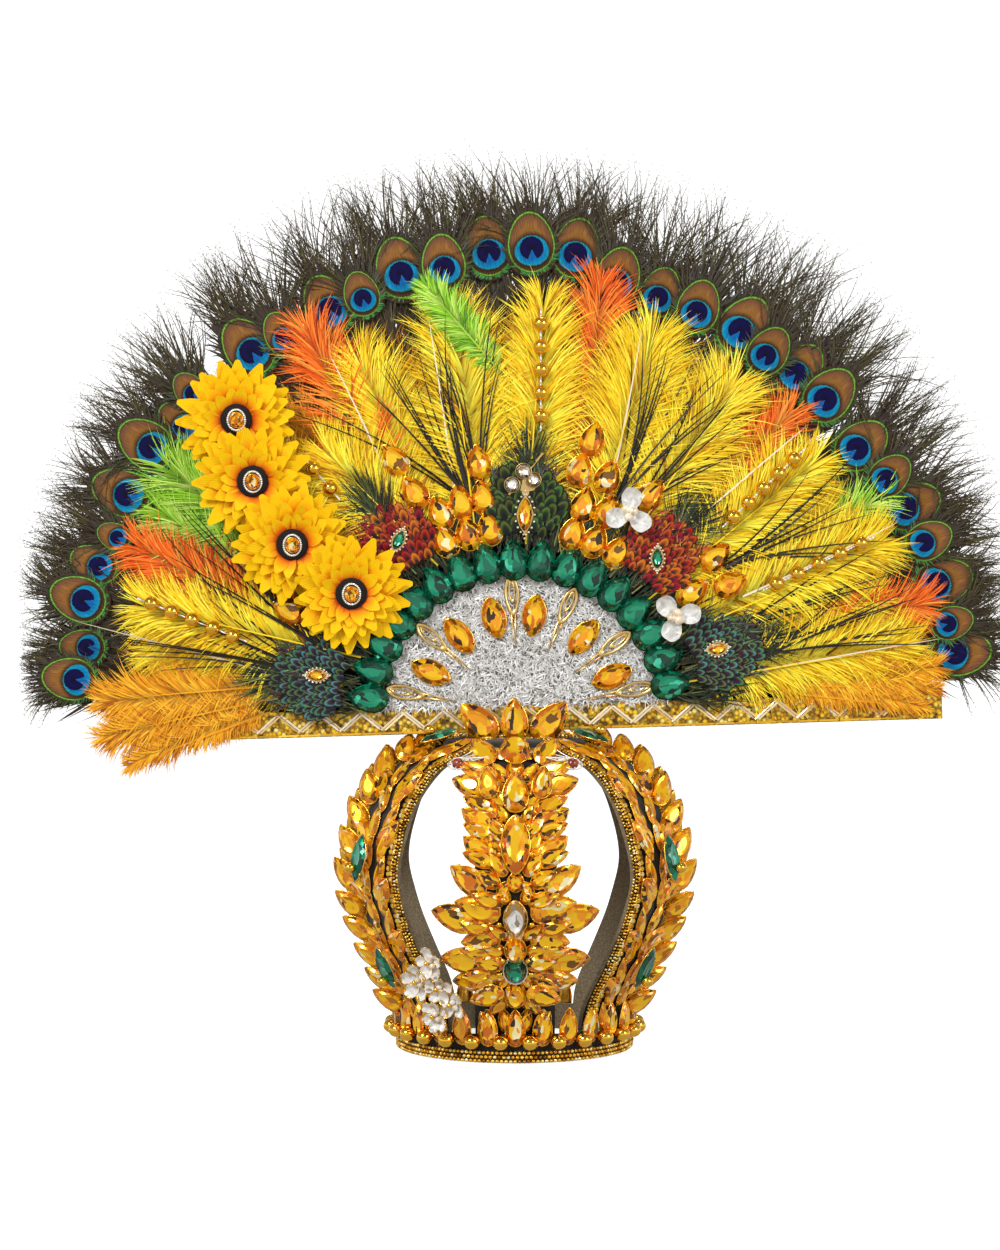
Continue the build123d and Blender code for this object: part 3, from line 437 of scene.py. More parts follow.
DROOPING_PLUMES = (
    (176.5, 1.06, 172, 0.6), (181.5, 1.06, 175, 0.5), (186, 1, 178, 0.36), (-1, 1.02, 3.4, 0.34),
    (1.5, 1.05, 5, 0.4), (5, 1.06, 7, 0.5),
)
YELLOW_BACK_PLUMES = (
    (16, 0.93, 15, 0.8), (31.5, 0.93, 33, 0.8), (62, 0.93, 60, 0.9), (113, 0.98, 115, 0.9),
    (132, 0.86, 131, 0.8), (168, 0.94, 168, 0.8),
)
YELLOW_FRONT_PLUMES = (
    (8.1, 1, 9, 0.8), (23.2, 1.01, 24.5, 0.88), (38.8, 0.98, 40, 0.9), (55.3, 0.98, 56, 1), (69, 1, 66, 1),
    (85.2, 1.045, 86.5, 0.8), (98.6, 1, 103, 1), (125, 0.82, 117.5, 0.9), (162.5, 0.99, 159, 0.85),
    (132.5, 1, 147, 0.7),
)


def plume_layer(name, back, plumes, material, slot_name, tufts, rise, foot=PLUME_ROOT):
    """All plumes of one layer, from how far out in front it lies and how far its barbs rise."""
    parts, lines = [], []
    for tip_angle, reach, root_angle, width in plumes:
        root, tip = fan_xy(root_angle, foot), fan_xy(tip_angle, reach * PLUME_REACH * QUILL_SHARE)
        parts.append(plume(root, tip, width * PLUME_WIDTH * BARB_SHARE, back, rise, tufts))
        lines.append((root, tip))
    parts.append(quills(lines, back + rise, 1.4 * MM))
    return fan_piece(f"{name}_barbs", parts, material, slot_name)


PLUME_LAYERS = (
    ("gold_plumes", GOLD_PLUMES, gold_barbs, "ostrich_gold", 90, 4 * MM),
    ("green_plumes", GREEN_PLUMES, green_barbs, "ostrich_green", 90, 6.5 * MM),
    ("orange_plumes", ORANGE_PLUMES, orange_barbs, "ostrich_orange", 90, 8 * MM),
    ("yellow_back", YELLOW_BACK_PLUMES, yellow_barbs, "ostrich_yellow", 100, 5 * MM),
    ("yellow_front", YELLOW_FRONT_PLUMES, yellow_barbs, "ostrich_yellow", 120, 7 * MM),
)
for node, plumes, material, slot_name, tufts, rise in PLUME_LAYERS:
    level = front_of(node) - 2.5 * MM
    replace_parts(plume_layer(node, level, plumes, material, slot_name, tufts, rise), node)
# Short honey-coloured plumes hang over the ends of the bar
droop_level = max(front_of("fan_bar"), front_of("orange_plumes")) + 0.5 * MM
plume_layer(
    "drooping_plumes", droop_level, DROOPING_PLUMES, honey_barbs, "ostrich_gold", 80, 5 * MM,
    DROOPING_ROOT,
)
# One thin lime wisp lies over the yellow plumes, left of the middle
LIME_WISP = ((101, 1.11, 91.5, 0.42),)
LIME_ROOT = 278.0 * MM
wisp_level = front_of("yellow_front") + 1 * MM
plume_layer("lime_wisp", wisp_level, LIME_WISP, green_barbs, "ostrich_green", 60, 4 * MM, LIME_ROOT)

# %% [markdown]
# Most of what repeats on the crown, such as an eye, a petal, a stone or a bead, is modelled once by
# hand and then copied. The function below copies a model to many places in one joined mesh. It keeps
# the model's UV map and adds a second one that holds a number for each copy, so that a material can
# give each copy a tone of its own.

# %% Models and their copies
def start_model(name, add, **size):
    """A primitive, alone and in edit mode with all of it selected."""
    bpy.ops.object.select_all(action="DESELECT")
    add(**size)
    bpy.context.object.name = name
    bpy.ops.object.mode_set(mode="EDIT")
    bpy.ops.mesh.select_all(action="SELECT")
    return bpy.context.object


def end_model(smooth_angle=None):
    """Leaves edit mode, with rounded shading up to an angle between faces."""
    bpy.ops.object.mode_set(mode="OBJECT")
    if smooth_angle:
        bpy.ops.object.shade_smooth_by_angle(angle=radians(smooth_angle))
    return bpy.context.object


def inset_ring(share, up):
    """Insets the selected face, then scales the new ring about Z and lifts it."""
    bpy.ops.mesh.inset(thickness=0)
    bpy.ops.transform.resize(value=(share, share, 1), center_override=(0, 0, 0))
    bpy.ops.transform.translate(value=(0, 0, up))


def flat_uv(model):
    """A UV map that is the model's own X and Y, from -1 to 1."""
    mesh = model.data
    while mesh.uv_layers:
        mesh.uv_layers.remove(mesh.uv_layers[0])
    layer = mesh.uv_layers.new(name="local")
    for loop in mesh.loops:
        place = mesh.vertices[loop.vertex_index].co
        layer.data[loop.index].uv = (place.x, place.y)


def copies(name, model, places, material, slot_name, stands_for=(), tones=None, keep=False):
    """One piece made of a copy of the model at each place, which is a 4 by 4 matrix."""
    mesh, count = model.data, len(places)
    points = np.ones((len(mesh.vertices), 4))
    flat = np.empty(3 * len(mesh.vertices), np.float32)
    mesh.vertices.foreach_get("co", flat)
    points[:, :3] = flat.reshape(-1, 3)
    placed = np.einsum("kij,nj->kni", np.asarray(places, float), points)[..., :3].reshape(-1, 3)
    corners = np.empty(len(mesh.loops), np.int32)
    mesh.loops.foreach_get("vertex_index", corners)
    starts = np.empty(len(mesh.polygons), np.int32)
    mesh.polygons.foreach_get("loop_start", starts)
    smooth = np.empty(len(mesh.polygons), bool)
    mesh.polygons.foreach_get("use_smooth", smooth)
    number = np.arange(count)[:, None]
    new = bpy.data.meshes.new(name)
    new.vertices.add(len(placed))
    new.vertices.foreach_set("co", placed.astype(np.float32).ravel())
    new.loops.add(count * len(corners))
    new.loops.foreach_set("vertex_index", (corners + number * len(points)).ravel().astype(np.int32))
    new.polygons.add(count * len(starts))
    new.polygons.foreach_set("loop_start", (starts + number * len(corners)).ravel().astype(np.int32))
    new.polygons.foreach_set("use_smooth", np.tile(smooth, count))
    if mesh.uv_layers:
        flat = np.empty(2 * len(corners), np.float32)
        mesh.uv_layers[0].data.foreach_get("uv", flat)
        new.uv_layers.new(name=mesh.uv_layers[0].name).data.foreach_set("uv", np.tile(flat, count))
    tones = random.uniform(0, 1, count) if tones is None else np.asarray(tones)
    pair = np.stack((tones, np.zeros(count)), 1)
    tone_values = np.repeat(pair, len(corners), axis=0).astype(np.float32).ravel()
    new.uv_layers.new(name="tone").data.foreach_set("uv", tone_values)
    new.update(calc_edges=True)
    new.validate()
    new.materials.append(material)
    piece = bpy.data.objects.new(name, new)
    bpy.context.scene.collection.objects.link(piece)
    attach(piece, "root")
    if stands_for:
        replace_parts(piece, *stands_for)
    if not keep:
        bpy.data.objects.remove(model)
    print(name, count, "copies")
    return piece


def place(origin, right, up, out, sizes=(1, 1, 1)):
    """A matrix that puts a model's X, Y and Z along three directions, at its own sizes."""
    matrix = np.eye(4)
    matrix[:3, 0], matrix[:3, 1], matrix[:3, 2] = right * sizes[0], up * sizes[1], out * sizes[2]
    matrix[:3, 3] = origin
    return matrix


def fan_place(angle, radius, out, lean=0.0, sizes=(1, 1, 1), tip_out=0.0):
    """A matrix on the fan whose Y points away from the fan's centre, turned by the lean."""
    turn = radians(angle + lean)
    up = cos(turn) * fan_right + sin(turn) * fan_up
    right = sin(turn) * fan_right - cos(turn) * fan_up
    tip = radians(tip_out)
    up, front = cos(tip) * up + sin(tip) * fan_out, cos(tip) * fan_out - sin(tip) * up
    return place(from_fan((*fan_xy(angle, radius), out)), right, up, front, sizes)


# %% [markdown]
# A peacock's eye feather ends in an egg-shaped eye of tight barbs: a thin green line round a bronze
# field, a turquoise kidney and an indigo heart with a notch. The egg is a disc modelled in rings, and
# its colours are drawn by distance from the eye's centre, in the disc's own UV map.

# %% Peacock eyes
EYE_WIDTH = 42.5 * MM
EYE_LENGTH = 56.0 * MM
EYE_RADIUS = 372.0 * MM
# Round the fan: angle, distance in eye radii, size
PEACOCK_EYES = (
    (174, 1, 0.95), (169.8, 0.98, 0.8), (163.8, 1.01, 1), (159.1, 1, 0.85), (154.8, 0.98, 0.6),
    (149.4, 1.01, 1.05), (142.6, 1.02, 1.05), (137.9, 0.99, 0.85), (134, 1.02, 0.7), (125, 1.01, 1.08),
    (120.5, 0.99, 0.8), (113.6, 1, 1.05), (109.1, 0.99, 0.8), (103.5, 1.02, 1.08), (98, 1.01, 0.98),
    (92.3, 1.035, 1.05), (87, 1.04, 1.05), (81.4, 1.035, 1.05), (75.7, 0.99, 1), (69.9, 0.98, 0.9),
    (64.6, 0.98, 0.95), (58.3, 0.99, 1.08), (53.8, 0.97, 0.9), (49.2, 0.98, 0.98), (44.1, 0.98, 1.05),
    (36.4, 0.96, 1.02), (31, 0.97, 0.85), (26.2, 0.98, 1.05), (21.2, 0.98, 0.85), (15.5, 0.98, 1.05),
    (10.1, 0.975, 0.75), (6.1, 0.985, 1.05),
)


def eye_model():
    """An egg-shaped disc of rings, a little domed, with its narrow end towards +Y."""
    model = start_model("eye", bpy.ops.mesh.primitive_circle_add, vertices=28, radius=1.0, fill_type="NGON")
    for share, lift in ((0.82, 0.05), (0.75, 0.04), (0.6, 0.02)):
        inset_ring(share, lift)
    end_model(60)
    flat_uv(model)
    for vertex in model.data.vertices:
        egg = 1 - 0.16 * vertex.co.y
        vertex.co.x *= egg
    return model


# %% [markdown]
# The eye's rings are ovals about points on the eye's middle line. Each oval is a distance that is 1 at
# its edge, so a colour ramp or a step draws it. A little noise frays the edges like real barbs.

# %% The eye's colours
def eye_barbs():
    """Peacock eye barbs: tightly hooked, so they read as a satin disc with coloured rings."""
    material = new_material("peacock_eye_barbs")
    local = add_node(material, "UVMap", uv_map="local")
    fray = add_node(material, "TexNoise", {"Vector": local, "Scale": 22.0, "Detail": 2.0})
    wander = add_node(
        material, "VectorMath", {0: fray.outputs["Color"], 1: (0.07, 0.07, 0.0), 2: (-0.035, -0.035, 0.0)},
        operation="MULTIPLY_ADD",
    )
    spot = add_node(material, "VectorMath", {0: local, 1: wander}, operation="ADD")
    axes = add_node(material, "SeparateXYZ", {"Vector": spot})

    def ring(centre_y, width, height):
        """Distance from a point on the eye's middle line, 1 at an oval's edge."""
        moved = add_node(
            material, "VectorMath",
            {0: spot, 1: (1 / width, 1 / height, 0.0), 2: (0.0, -centre_y / height, 0.0)},
            operation="MULTIPLY_ADD",
        )
        return add_node(material, "VectorMath", {0: moved}, operation="LENGTH")

    colour = add_node(
        material, "ValToRGB", {"Fac": ring(0.0, 1.0, 1.0)},
        stops=[
            (0.0, "#7c5220"), (0.45, "#8c5e2c"), (0.74, "#6c4630"), (0.80, "#3a4218"), (0.825, "#8cb840"),
            (0.85, "#3c7a2a"), (0.88, "#2c2c14"), (0.94, "#48342a"), (1.0, "#2c2014"),
        ],
    )
    turquoise = add_node(
        material, "ValToRGB", {"Fac": ring(-0.24, 0.62, 0.44)},
        stops=[(0.5, "#0760a2"), (0.8, "#087cae"), (1.0, "#0e96a2")],
    )
    indigo = add_node(
        material, "ValToRGB", {"Fac": ring(-0.17, 0.44, 0.33)},
        stops=[(0.0, "#060218"), (0.6, "#0c0544"), (1.0, "#060426")],
    )
    notch_side = add_node(material, "Math", {0: axes.outputs["X"]}, operation="ABSOLUTE")
    notch_edge = add_node(
        material, "Math", {0: axes.outputs["Y"], 1: 0.6, 2: 0.13}, operation="MULTIPLY_ADD",
    )
    notch = add_node(material, "Math", {0: notch_side, 1: notch_edge}, operation="ADD")
    heart_cut = add_node(material, "Math", {0: notch, 1: 0.0}, operation="GREATER_THAN")
    # The spots from the widest to the smallest: colour, centre, width, height, softness of the edge
    spots = (
        (linear("#35200f"), -0.26, 0.72, 0.52, 0.12), (turquoise, -0.24, 0.60, 0.42, 0.04),
        (indigo, -0.17, 0.43, 0.33, 0.04),
    )
    for spot_colour, *oval, edge in spots:
        factor = add_node(
            material, "MapRange",
            {
                "Value": ring(*oval), "From Min": 1 - edge, "From Max": 1 + edge, "To Min": 1.0,
                "To Max": 0.0,
            },
        )
        if spot_colour == indigo:
            factor = add_node(material, "Math", {0: factor, 1: heart_cut}, operation="MULTIPLY")
        sockets = {"Factor": factor, "A": colour, "B": spot_colour}
        colour = add_node(material, "Mix", sockets, data_type="RGBA")
    fine = add_node(material, "Mapping", {"Vector": local, "Scale": (30.0, 2.0, 1.0)})
    barbs = add_node(material, "TexNoise", {"Vector": fine, "Scale": 1.6, "Detail": 1.0})
    streaked = dimmed(material, colour, barbs, (0.3, 0.7), (0.5, 1.3))
    hue = add_node(material, "SeparateXYZ", {"Vector": add_node(material, "UVMap", uv_map="tone")})
    toned = dimmed(material, streaked, hue.outputs["X"], (0.0, 1.0), (0.85, 1.1))
    return finished(material, {"Base Color": toned, "Roughness": 0.5, "Specular IOR Level": 0.1})


# %% [markdown]
# The eyes lie in the order of the photograph. Neighbours overlap on the real fan, so every second eye is
# set a little further out in front.

# %% Eyes in their places
EYE_LEVELS = (5.5 * MM, 3 * MM)
EYE_DOME = 10 * MM
fringe_front = front_of("peacock_fringe")
eye_places, eye_spots = [], []
for number, (angle, reach, size) in enumerate(PEACOCK_EYES):
    out = fringe_front + EYE_LEVELS[number % 2]
    sizes = (size * EYE_WIDTH / 2, size * EYE_LENGTH / 2, EYE_DOME)
    turn = random.normal(0, 4)
    eye_places.append(fan_place(angle, reach * EYE_RADIUS, out, turn, sizes))
    eye_spots.append((angle, reach * EYE_RADIUS, size, out, turn))
copies("peacock_eyes", eye_model(), eye_places, eye_barbs(), "peacock_feather")

# %% [markdown]
# Round and beyond each eye stand the loose barbs, which a feather worker calls herl: dark, nearly
# straight strands that fan out and carry a fuzz of tiny barbules. Below the eye they hang from the quill
# in a dense dark green skirt.

# %% Herl fringe
TOP_REACH = 462.0 * MM
SIDE_REACH = 412.0 * MM
WIDEST = 0.409
HERL_WIDTH = 1.0 * MM
CLUMP = 4


def fuzz(line_sets, length, every):
    """Tiny barbules along strands, given as their roots, heads and bends."""
    roots, heads, bends = line_sets
    places = np.linspace(0.12, 0.97, every)[None, :, None]
    starts = (roots[:, None] + heads[:, None] * places + bends[:, None] * places ** 2).reshape(-1, 3)
    runs = (heads[:, None] + 2 * bends[:, None] * places).reshape(-1, 3)
    runs /= np.linalg.norm(runs, axis=1, keepdims=True)
    starts = starts + runs * random.normal(0, length / 3, len(starts))[:, None]
    side = np.where(random.uniform(0, 1, len(starts)) < 0.5, -1.0, 1.0)
    barbules = turned(runs, side * random.uniform(0.5, 0.95, len(starts)))
    barbules *= length * random.uniform(0.6, 1.2, len(starts))[:, None]
    tones = random.uniform(0.1, 0.9, len(starts))
    return ribbons(starts, barbules, 0.0, 0.45 * MM, tones, 1, 0.4)


def herl_of(angle, radius, size, out, turn, strands):
    """Strands that fan outwards from round one eye."""
    clumps = random.normal(0, 0.5, strands // CLUMP + 1)
    spread = np.repeat(clumps, CLUMP)[:strands] + random.normal(0, 0.08, strands) + radians(turn)
    ahead = np.array((*fan_xy(angle, 1.0), 0.0))
    rim = turned(ahead, spread * 1.3)
    roots = np.array((*fan_xy(angle, radius), out - 2.5 * MM)) + rim * (size * 0.3 * EYE_LENGTH)
    roots[:, 2] += random.uniform(-3, 1, strands) * MM
    reach = SIDE_REACH + (TOP_REACH - SIDE_REACH) * min(1.0, 1.2 * sin(radians(angle)))
    lengths = (reach - radius - size * 0.25 * EYE_LENGTH) * random.uniform(0.5, 1.04, strands)
    heads = turned(ahead, spread) * lengths[:, None]
    heads[:, 2] = random.uniform(-2, 6, strands) * MM
    curve = np.repeat(random.normal(0, 0.24, len(clumps)), CLUMP)[:strands] + random.normal(0, 0.07, strands)
    bends = turned(heads, pi / 2) * curve[:, None]
    return roots, heads, bends


def skirt_of(angle, radius, size, out, turn, strands):
    """Dense barbs along the quill below and beside one eye."""
    ahead = np.array((*fan_xy(angle, 1.0), 0.0))
    along = random.uniform(0.72, 0.97, strands)
    side = np.where(random.uniform(0, 1, strands) < 0.5, -1.0, 1.0)
    roots = np.array((0.0, 0.0, out - 4 * MM)) + np.outer(along * radius, ahead)
    heads = turned(ahead, side * random.uniform(0.25, 0.75, strands))
    heads *= (random.uniform(38, 66, strands) * MM)[:, None]
    heads[:, 2] = random.uniform(-1, 3, strands) * MM
    bends = turned(heads, pi / 2) * (-side * random.uniform(0.05, 0.3, strands))[:, None]
    return roots, heads, bends


def collar_of(angle, radius, size, out, turn, strands):
    """Short barbs round an eye's rim, green towards the quill, that break up its outline."""
    around = random.uniform(-pi, pi, strands)
    ahead = turned(np.array((*fan_xy(angle, 1.0), 0.0)), radians(turn))
    across = np.array((-ahead[1], ahead[0], 0.0))
    rim = np.outer(np.sin(around), across) * EYE_WIDTH + np.outer(np.cos(around), ahead) * EYE_LENGTH
    roots = np.array((*fan_xy(angle, radius), out)) + rim * (0.44 * size)
    roots[:, 2] += random.uniform(0.3, 1.2, strands) * MM
    heads = rim / np.linalg.norm(rim, axis=1, keepdims=True) + 0.7 * ahead
    heads *= (random.uniform(5, 11, strands) * MM)[:, None]
    bends = turned(heads, pi / 2) * random.normal(0, 0.2, strands)[:, None]
    tones = np.clip(0.45 - 0.5 * np.cos(around) + random.normal(0, 0.1, strands), 0, 1)
    return roots, heads, bends, tones


def held_in(roots, heads, bends):
    """Shortens the strands that would reach past the widest place of the crown."""
    start = np.abs(roots[:, 0])
    reach = np.abs(roots[:, 0] + heads[:, 0] + bends[:, 0])
    share = np.where(reach > WIDEST, (WIDEST - start) / np.maximum(reach - start, 1e-6), 1.0)
    share = np.clip(share, 0.1, 1.0)[:, None]
    return roots, heads * share, bends * share


# %% [markdown]
# Undyed herl is near black with a green and bronze sheen, painted here as lighter tones on some strands.
# Thousands of strands make the fringe one soft piece, which takes the place of the plain ring of locks
# behind it.

# %% The fringe in its colours
def herl_tones_and_sheen(name, dark, body, light):
    """Natural peacock herl: near black, with a painted green and bronze sheen on some lighter strands."""
    material = new_material(name)
    parts = add_node(material, "SeparateXYZ", {"Vector": add_node(material, "UVMap", uv_map="strand")})
    # The strands' tones are random; for herl the lightest one is a painted green and bronze sheen.
    colour = add_node(
        material, "ValToRGB", {"Fac": parts.outputs["Y"]}, stops=[(0.0, dark), (0.55, body), (1.0, light)],
    )
    return finished(material, {"Base Color": colour, "Roughness": 0.5, "Specular IOR Level": 0.35})


herl = herl_tones_and_sheen("peacock_herl", "#221a0e", "#46391e", "#625f30")
strand_sets = []
for spot in eye_spots:
    for strands, width, barbules, tone in (
        (herl_of(*spot, 92), 1.0, 13, 0.45), (skirt_of(*spot, 150), 1.7, 4, 0.45),
        (skirt_of(*spot, 70), 3.6, 1, 0.1),
    ):
        roots, heads, bends = held_in(*strands)
        count = len(roots)
        tones = np.clip(random.normal(tone, 0.5 * tone, count), 0, 1)
        strand_sets.append(ribbons(roots, heads, bends, width * HERL_WIDTH, tones, 4, 0.4))
        strand_sets.append(fuzz((roots, heads, bends), 3.4 * MM, barbules))
fringe = fan_piece("peacock_herl_fringe", strand_sets, herl, "peacock_feather")
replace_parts(fringe, "peacock_fringe")
collar_sets = []
for spot in eye_spots:
    roots, heads, bends, tones = collar_of(*spot, 80)
    collar_sets.append(ribbons(roots, heads, bends, 1.3 * MM, tones, 2, 0.3))
rim_barbs = herl_tones_and_sheen("eye_rim_barbs", "#33261a", "#3c3c1c", "#2e8a3c")
fan_piece("eye_collars", collar_sets, rim_barbs, "peacock_feather")

# %% [markdown]
# Gold plated brass and silver foil look the way they do because of what they mirror, so they need little
# colour of their own: a metal base, low roughness and a fine unevenness that breaks up the reflections.

# %% Metals
def metal(name, colour, roughness, grain_mm, depth_mm):
    """A metal with a fine uneven surface: the grain's size and depth are in millimetres."""
    material = new_material(name)
    places = add_node(material, "TexCoord")
    grain = add_node(
        material, "TexNoise",
        {"Vector": places.outputs["Object"], "Scale": 1 / (grain_mm * MM), "Detail": 2.0},
    )
    tinted = dimmed(material, linear(colour), grain, (0.3, 0.7), (0.86, 1.0))
    bump = add_node(material, "Bump", {"Height": grain, "Strength": 0.6, "Distance": depth_mm * MM})
    return finished(material, {
        "Base Color": tinted, "Normal": bump, "Metallic": 1.0, "Roughness": roughness,
    })


bright_gold = metal("gold_plated_bead_metal", "#ffc648", 0.13, 5.0, 0.03)
setting_gold = metal("gold_plated_brass_setting", "#ffc04a", 0.26, 1.5, 0.05)
filigree_gold = metal("pale_gold_filigree", "#f3cf84", 0.30, 2.0, 0.06)
silver_rim = metal("silver_beaded_rim", "#fffaf0", 0.25, 1.0, 0.05)
# The beads are silver lined glass, so half of what they show is white of their own
finished(silver_rim, {"Metallic": 0.4})

# %% [markdown]
# Every jewel on the crown is a sewn-on cut stone: foil-backed glass in a claw cup of gilt metal. A real
# one shows a patchwork of reflections from the facets behind it. Modelled in rings of facets by hand,
# with each ring turned half a step, the front gives the real glints. The patchwork inside is painted
# reflection: cells in the stone's own UV map paint it into the colour, and every stone has another part
# of the pattern.

# %% Cut stones
STONE_SIDES = 16


def outline_point(kind, turn):
    """A place on a stone's outline of width 1 and length 1, with the tip at turn 0."""
    sharpness = {"pear": sin(turn / 2) ** 0.55, "navette": abs(sin(turn)) ** 0.35, "oval": 1.0}[kind]
    return 0.5 * sin(turn) * sharpness, 0.5 * cos(turn)


def stretch_to_outline(model, kind):
    """Turns a model of round rings about Z into the outline of a pear, a navette or an oval."""
    for vertex in model.data.vertices:
        x, y = vertex.co.x, vertex.co.y
        radius, turn = np.hypot(x, y), atan2(x, y) % (2 * pi)
        side = 1.0 if turn <= pi else -1.0
        wide, long = outline_point(kind, turn if turn <= pi else 2 * pi - turn)
        vertex.co.x, vertex.co.y = side * wide * radius, long * radius


def facet_ring(size, up):
    """A ring of facets: the selected face inset to a size, lifted and turned half a step."""
    inset_ring(size, up)
    bpy.ops.transform.rotate(value=pi / STONE_SIDES, orient_axis="Z", center_override=(0, 0, 0))


def stone_model(kind):
    """A stone of width, length and depth 1: girdle at height 0, a broken-up table, and a flat back."""
    model = start_model(
        f"{kind}_stone", bpy.ops.mesh.primitive_circle_add, vertices=STONE_SIDES, radius=1.0,
        fill_type="NGON",
    )
    facet_ring(0.84, 0.55)
    facet_ring(0.78, 0.45)
    facet_ring(0.62, -0.16)
    bpy.ops.mesh.poke(offset=0.0)
    bpy.ops.mesh.select_all(action="DESELECT")
    bpy.ops.mesh.select_non_manifold()
    bpy.ops.mesh.extrude_edges_move(TRANSFORM_OT_translate={"value": (0, 0, -0.2)})
    bpy.ops.transform.resize(value=(0.92, 0.92, 1), center_override=(0, 0, 0))
    bpy.ops.mesh.extrude_edges_move(TRANSFORM_OT_translate={"value": (0, 0, -0.5)})
    bpy.ops.transform.resize(value=(0.62, 0.62, 1), center_override=(0, 0, 0))
    bpy.ops.mesh.edge_face_add()
    bpy.ops.mesh.select_all(action="SELECT")
    bpy.ops.mesh.quads_convert_to_tris()
    bpy.ops.mesh.normals_make_consistent(inside=False)
    end_model()
    flat_uv(model)
    stretch_to_outline(model, kind)
    return model


def cup_model(kind):
    """The gilt cup round a stone: a thin rim at the girdle, four claws over it, and a closed back."""
    model = start_model(
        f"{kind}_cup", bpy.ops.mesh.primitive_circle_add, vertices=STONE_SIDES, radius=0.97,
        fill_type="NOTHING",
    )
    bpy.ops.transform.translate(value=(0, 0, 0.02))
    bpy.ops.mesh.extrude_edges_move(TRANSFORM_OT_translate={"value": (0, 0, 0.03)})
    bpy.ops.transform.resize(value=(1.08, 1.08, 1), center_override=(0, 0, 0))
    bpy.ops.mesh.extrude_edges_move(TRANSFORM_OT_translate={"value": (0, 0, -0.25)})
    bpy.ops.mesh.extrude_edges_move(TRANSFORM_OT_translate={"value": (0, 0, -0.55)})
    bpy.ops.transform.resize(value=(0.62, 0.62, 1), center_override=(0, 0, 0))
    bpy.ops.mesh.edge_face_add()
    for side in range(4):
        turn = radians(45 + 90 * side)
        bpy.ops.mesh.primitive_cone_add(
            vertices=5, radius1=0.10, radius2=0.05, depth=0.4,
            location=(0.97 * cos(turn), 0.97 * sin(turn), 0.12), rotation=(0, 0, turn),
        )
    bpy.ops.mesh.select_all(action="SELECT")
    bpy.ops.mesh.normals_make_consistent(inside=False)
    end_model(40)
    stretch_to_outline(model, kind)
    return model


# %% [markdown]
# The glass is foiled behind, so it throws light back in flat patches: a large calm table in the middle
# and small lively facets round it. Cells in the stone's UV map paint these reflections into the colour,
# in a few flat tones.

# %% Glass in its colours
def cut_glass(name, deep, dark, body, bright, painted_glint, edge):
    """Foil-backed cut glass: saturated patches of painted reflection and glint, under a glassy skin."""
    material = new_material(name)
    local = add_node(material, "UVMap", uv_map="local")
    tone = add_node(material, "UVMap", uv_map="tone")
    shift = add_node(
        material, "VectorMath", {0: tone, 2: local, 1: (83.0, 0.0, 0.0)},
        operation="MULTIPLY_ADD",
    )
    far = add_node(
        material, "VectorMath", {0: tone, 2: shift, 1: (41.0, 0.0, 0.0)},
        operation="MULTIPLY_ADD",
    )
    cells = add_node(
        material, "TexVoronoi", {"Vector": shift, "Scale": 1.9, "Randomness": 1.0}, distance="MANHATTAN",
    )
    chips = add_node(
        material, "TexVoronoi", {"Vector": far, "Scale": 3.0, "Randomness": 1.0}, distance="CHEBYCHEV",
    )
    cell_value = add_node(material, "SeparateXYZ", {"Vector": cells.outputs["Color"]})
    chip_value = add_node(material, "SeparateXYZ", {"Vector": chips.outputs["Color"]})
    radius = add_node(material, "VectorMath", {0: local}, operation="LENGTH")
    border = add_node(
        material, "MapRange",
        {"Value": radius, "From Min": 0.60, "From Max": 0.64, "To Min": 0.0, "To Max": 1.0},
    )
    # Painted reflections: in the table and in the bezel the cells paint the facets' reflections into the base
    # colour, with the deep and dark patches as painted shade and the bright and glint patches as painted
    # highlight.
    table = add_node(
        material, "ValToRGB", {"Fac": cell_value.outputs["X"]},
        stops=[(0.0, deep), (0.05, dark), (0.14, edge), (0.24, body), (0.42, bright), (0.95, painted_glint)],
    )
    table.color_ramp.interpolation = "CONSTANT"
    bezel = add_node(
        material, "ValToRGB", {"Fac": chip_value.outputs["X"]},
        stops=[(0.0, deep), (0.08, dark), (0.22, edge), (0.58, body), (0.80, bright), (0.96, painted_glint)],
    )
    bezel.color_ramp.interpolation = "CONSTANT"
    colour = add_node(material, "Mix", {"Factor": border, "A": table, "B": bezel}, data_type="RGBA")
    return finished(material, {
        "Base Color": colour, "Metallic": 0.5, "Roughness": 0.2, "Coat Weight": 0.5, "Coat Roughness": 0.04,
    })


amber = cut_glass("amber_cut_glass", "#3e2200", "#7a4c00", "#f8a000", "#ffc400", "#fff2b8", "#d87000")
calm_amber = cut_glass(
    "small_amber_cut_glass", "#6a4200", "#b87400", "#f8a200", "#ffc400", "#fff2b8", "#e08400",
)
emerald = cut_glass("emerald_cut_glass", "#01281c", "#023c2a", "#046a4c", "#089068", "#40c8a0", "#034e38")
crystal = cut_glass("clear_cut_crystal", "#4f4436", "#9a8a70", "#d9d4ca", "#f4f2ee", "#ffffff", "#b08a4a")

# %% [markdown]
# Each stone is a solid of the model already, so the new ones are put exactly where those lie. The next
# functions read a solid's front, its long and wide directions and its outline, and note the place.

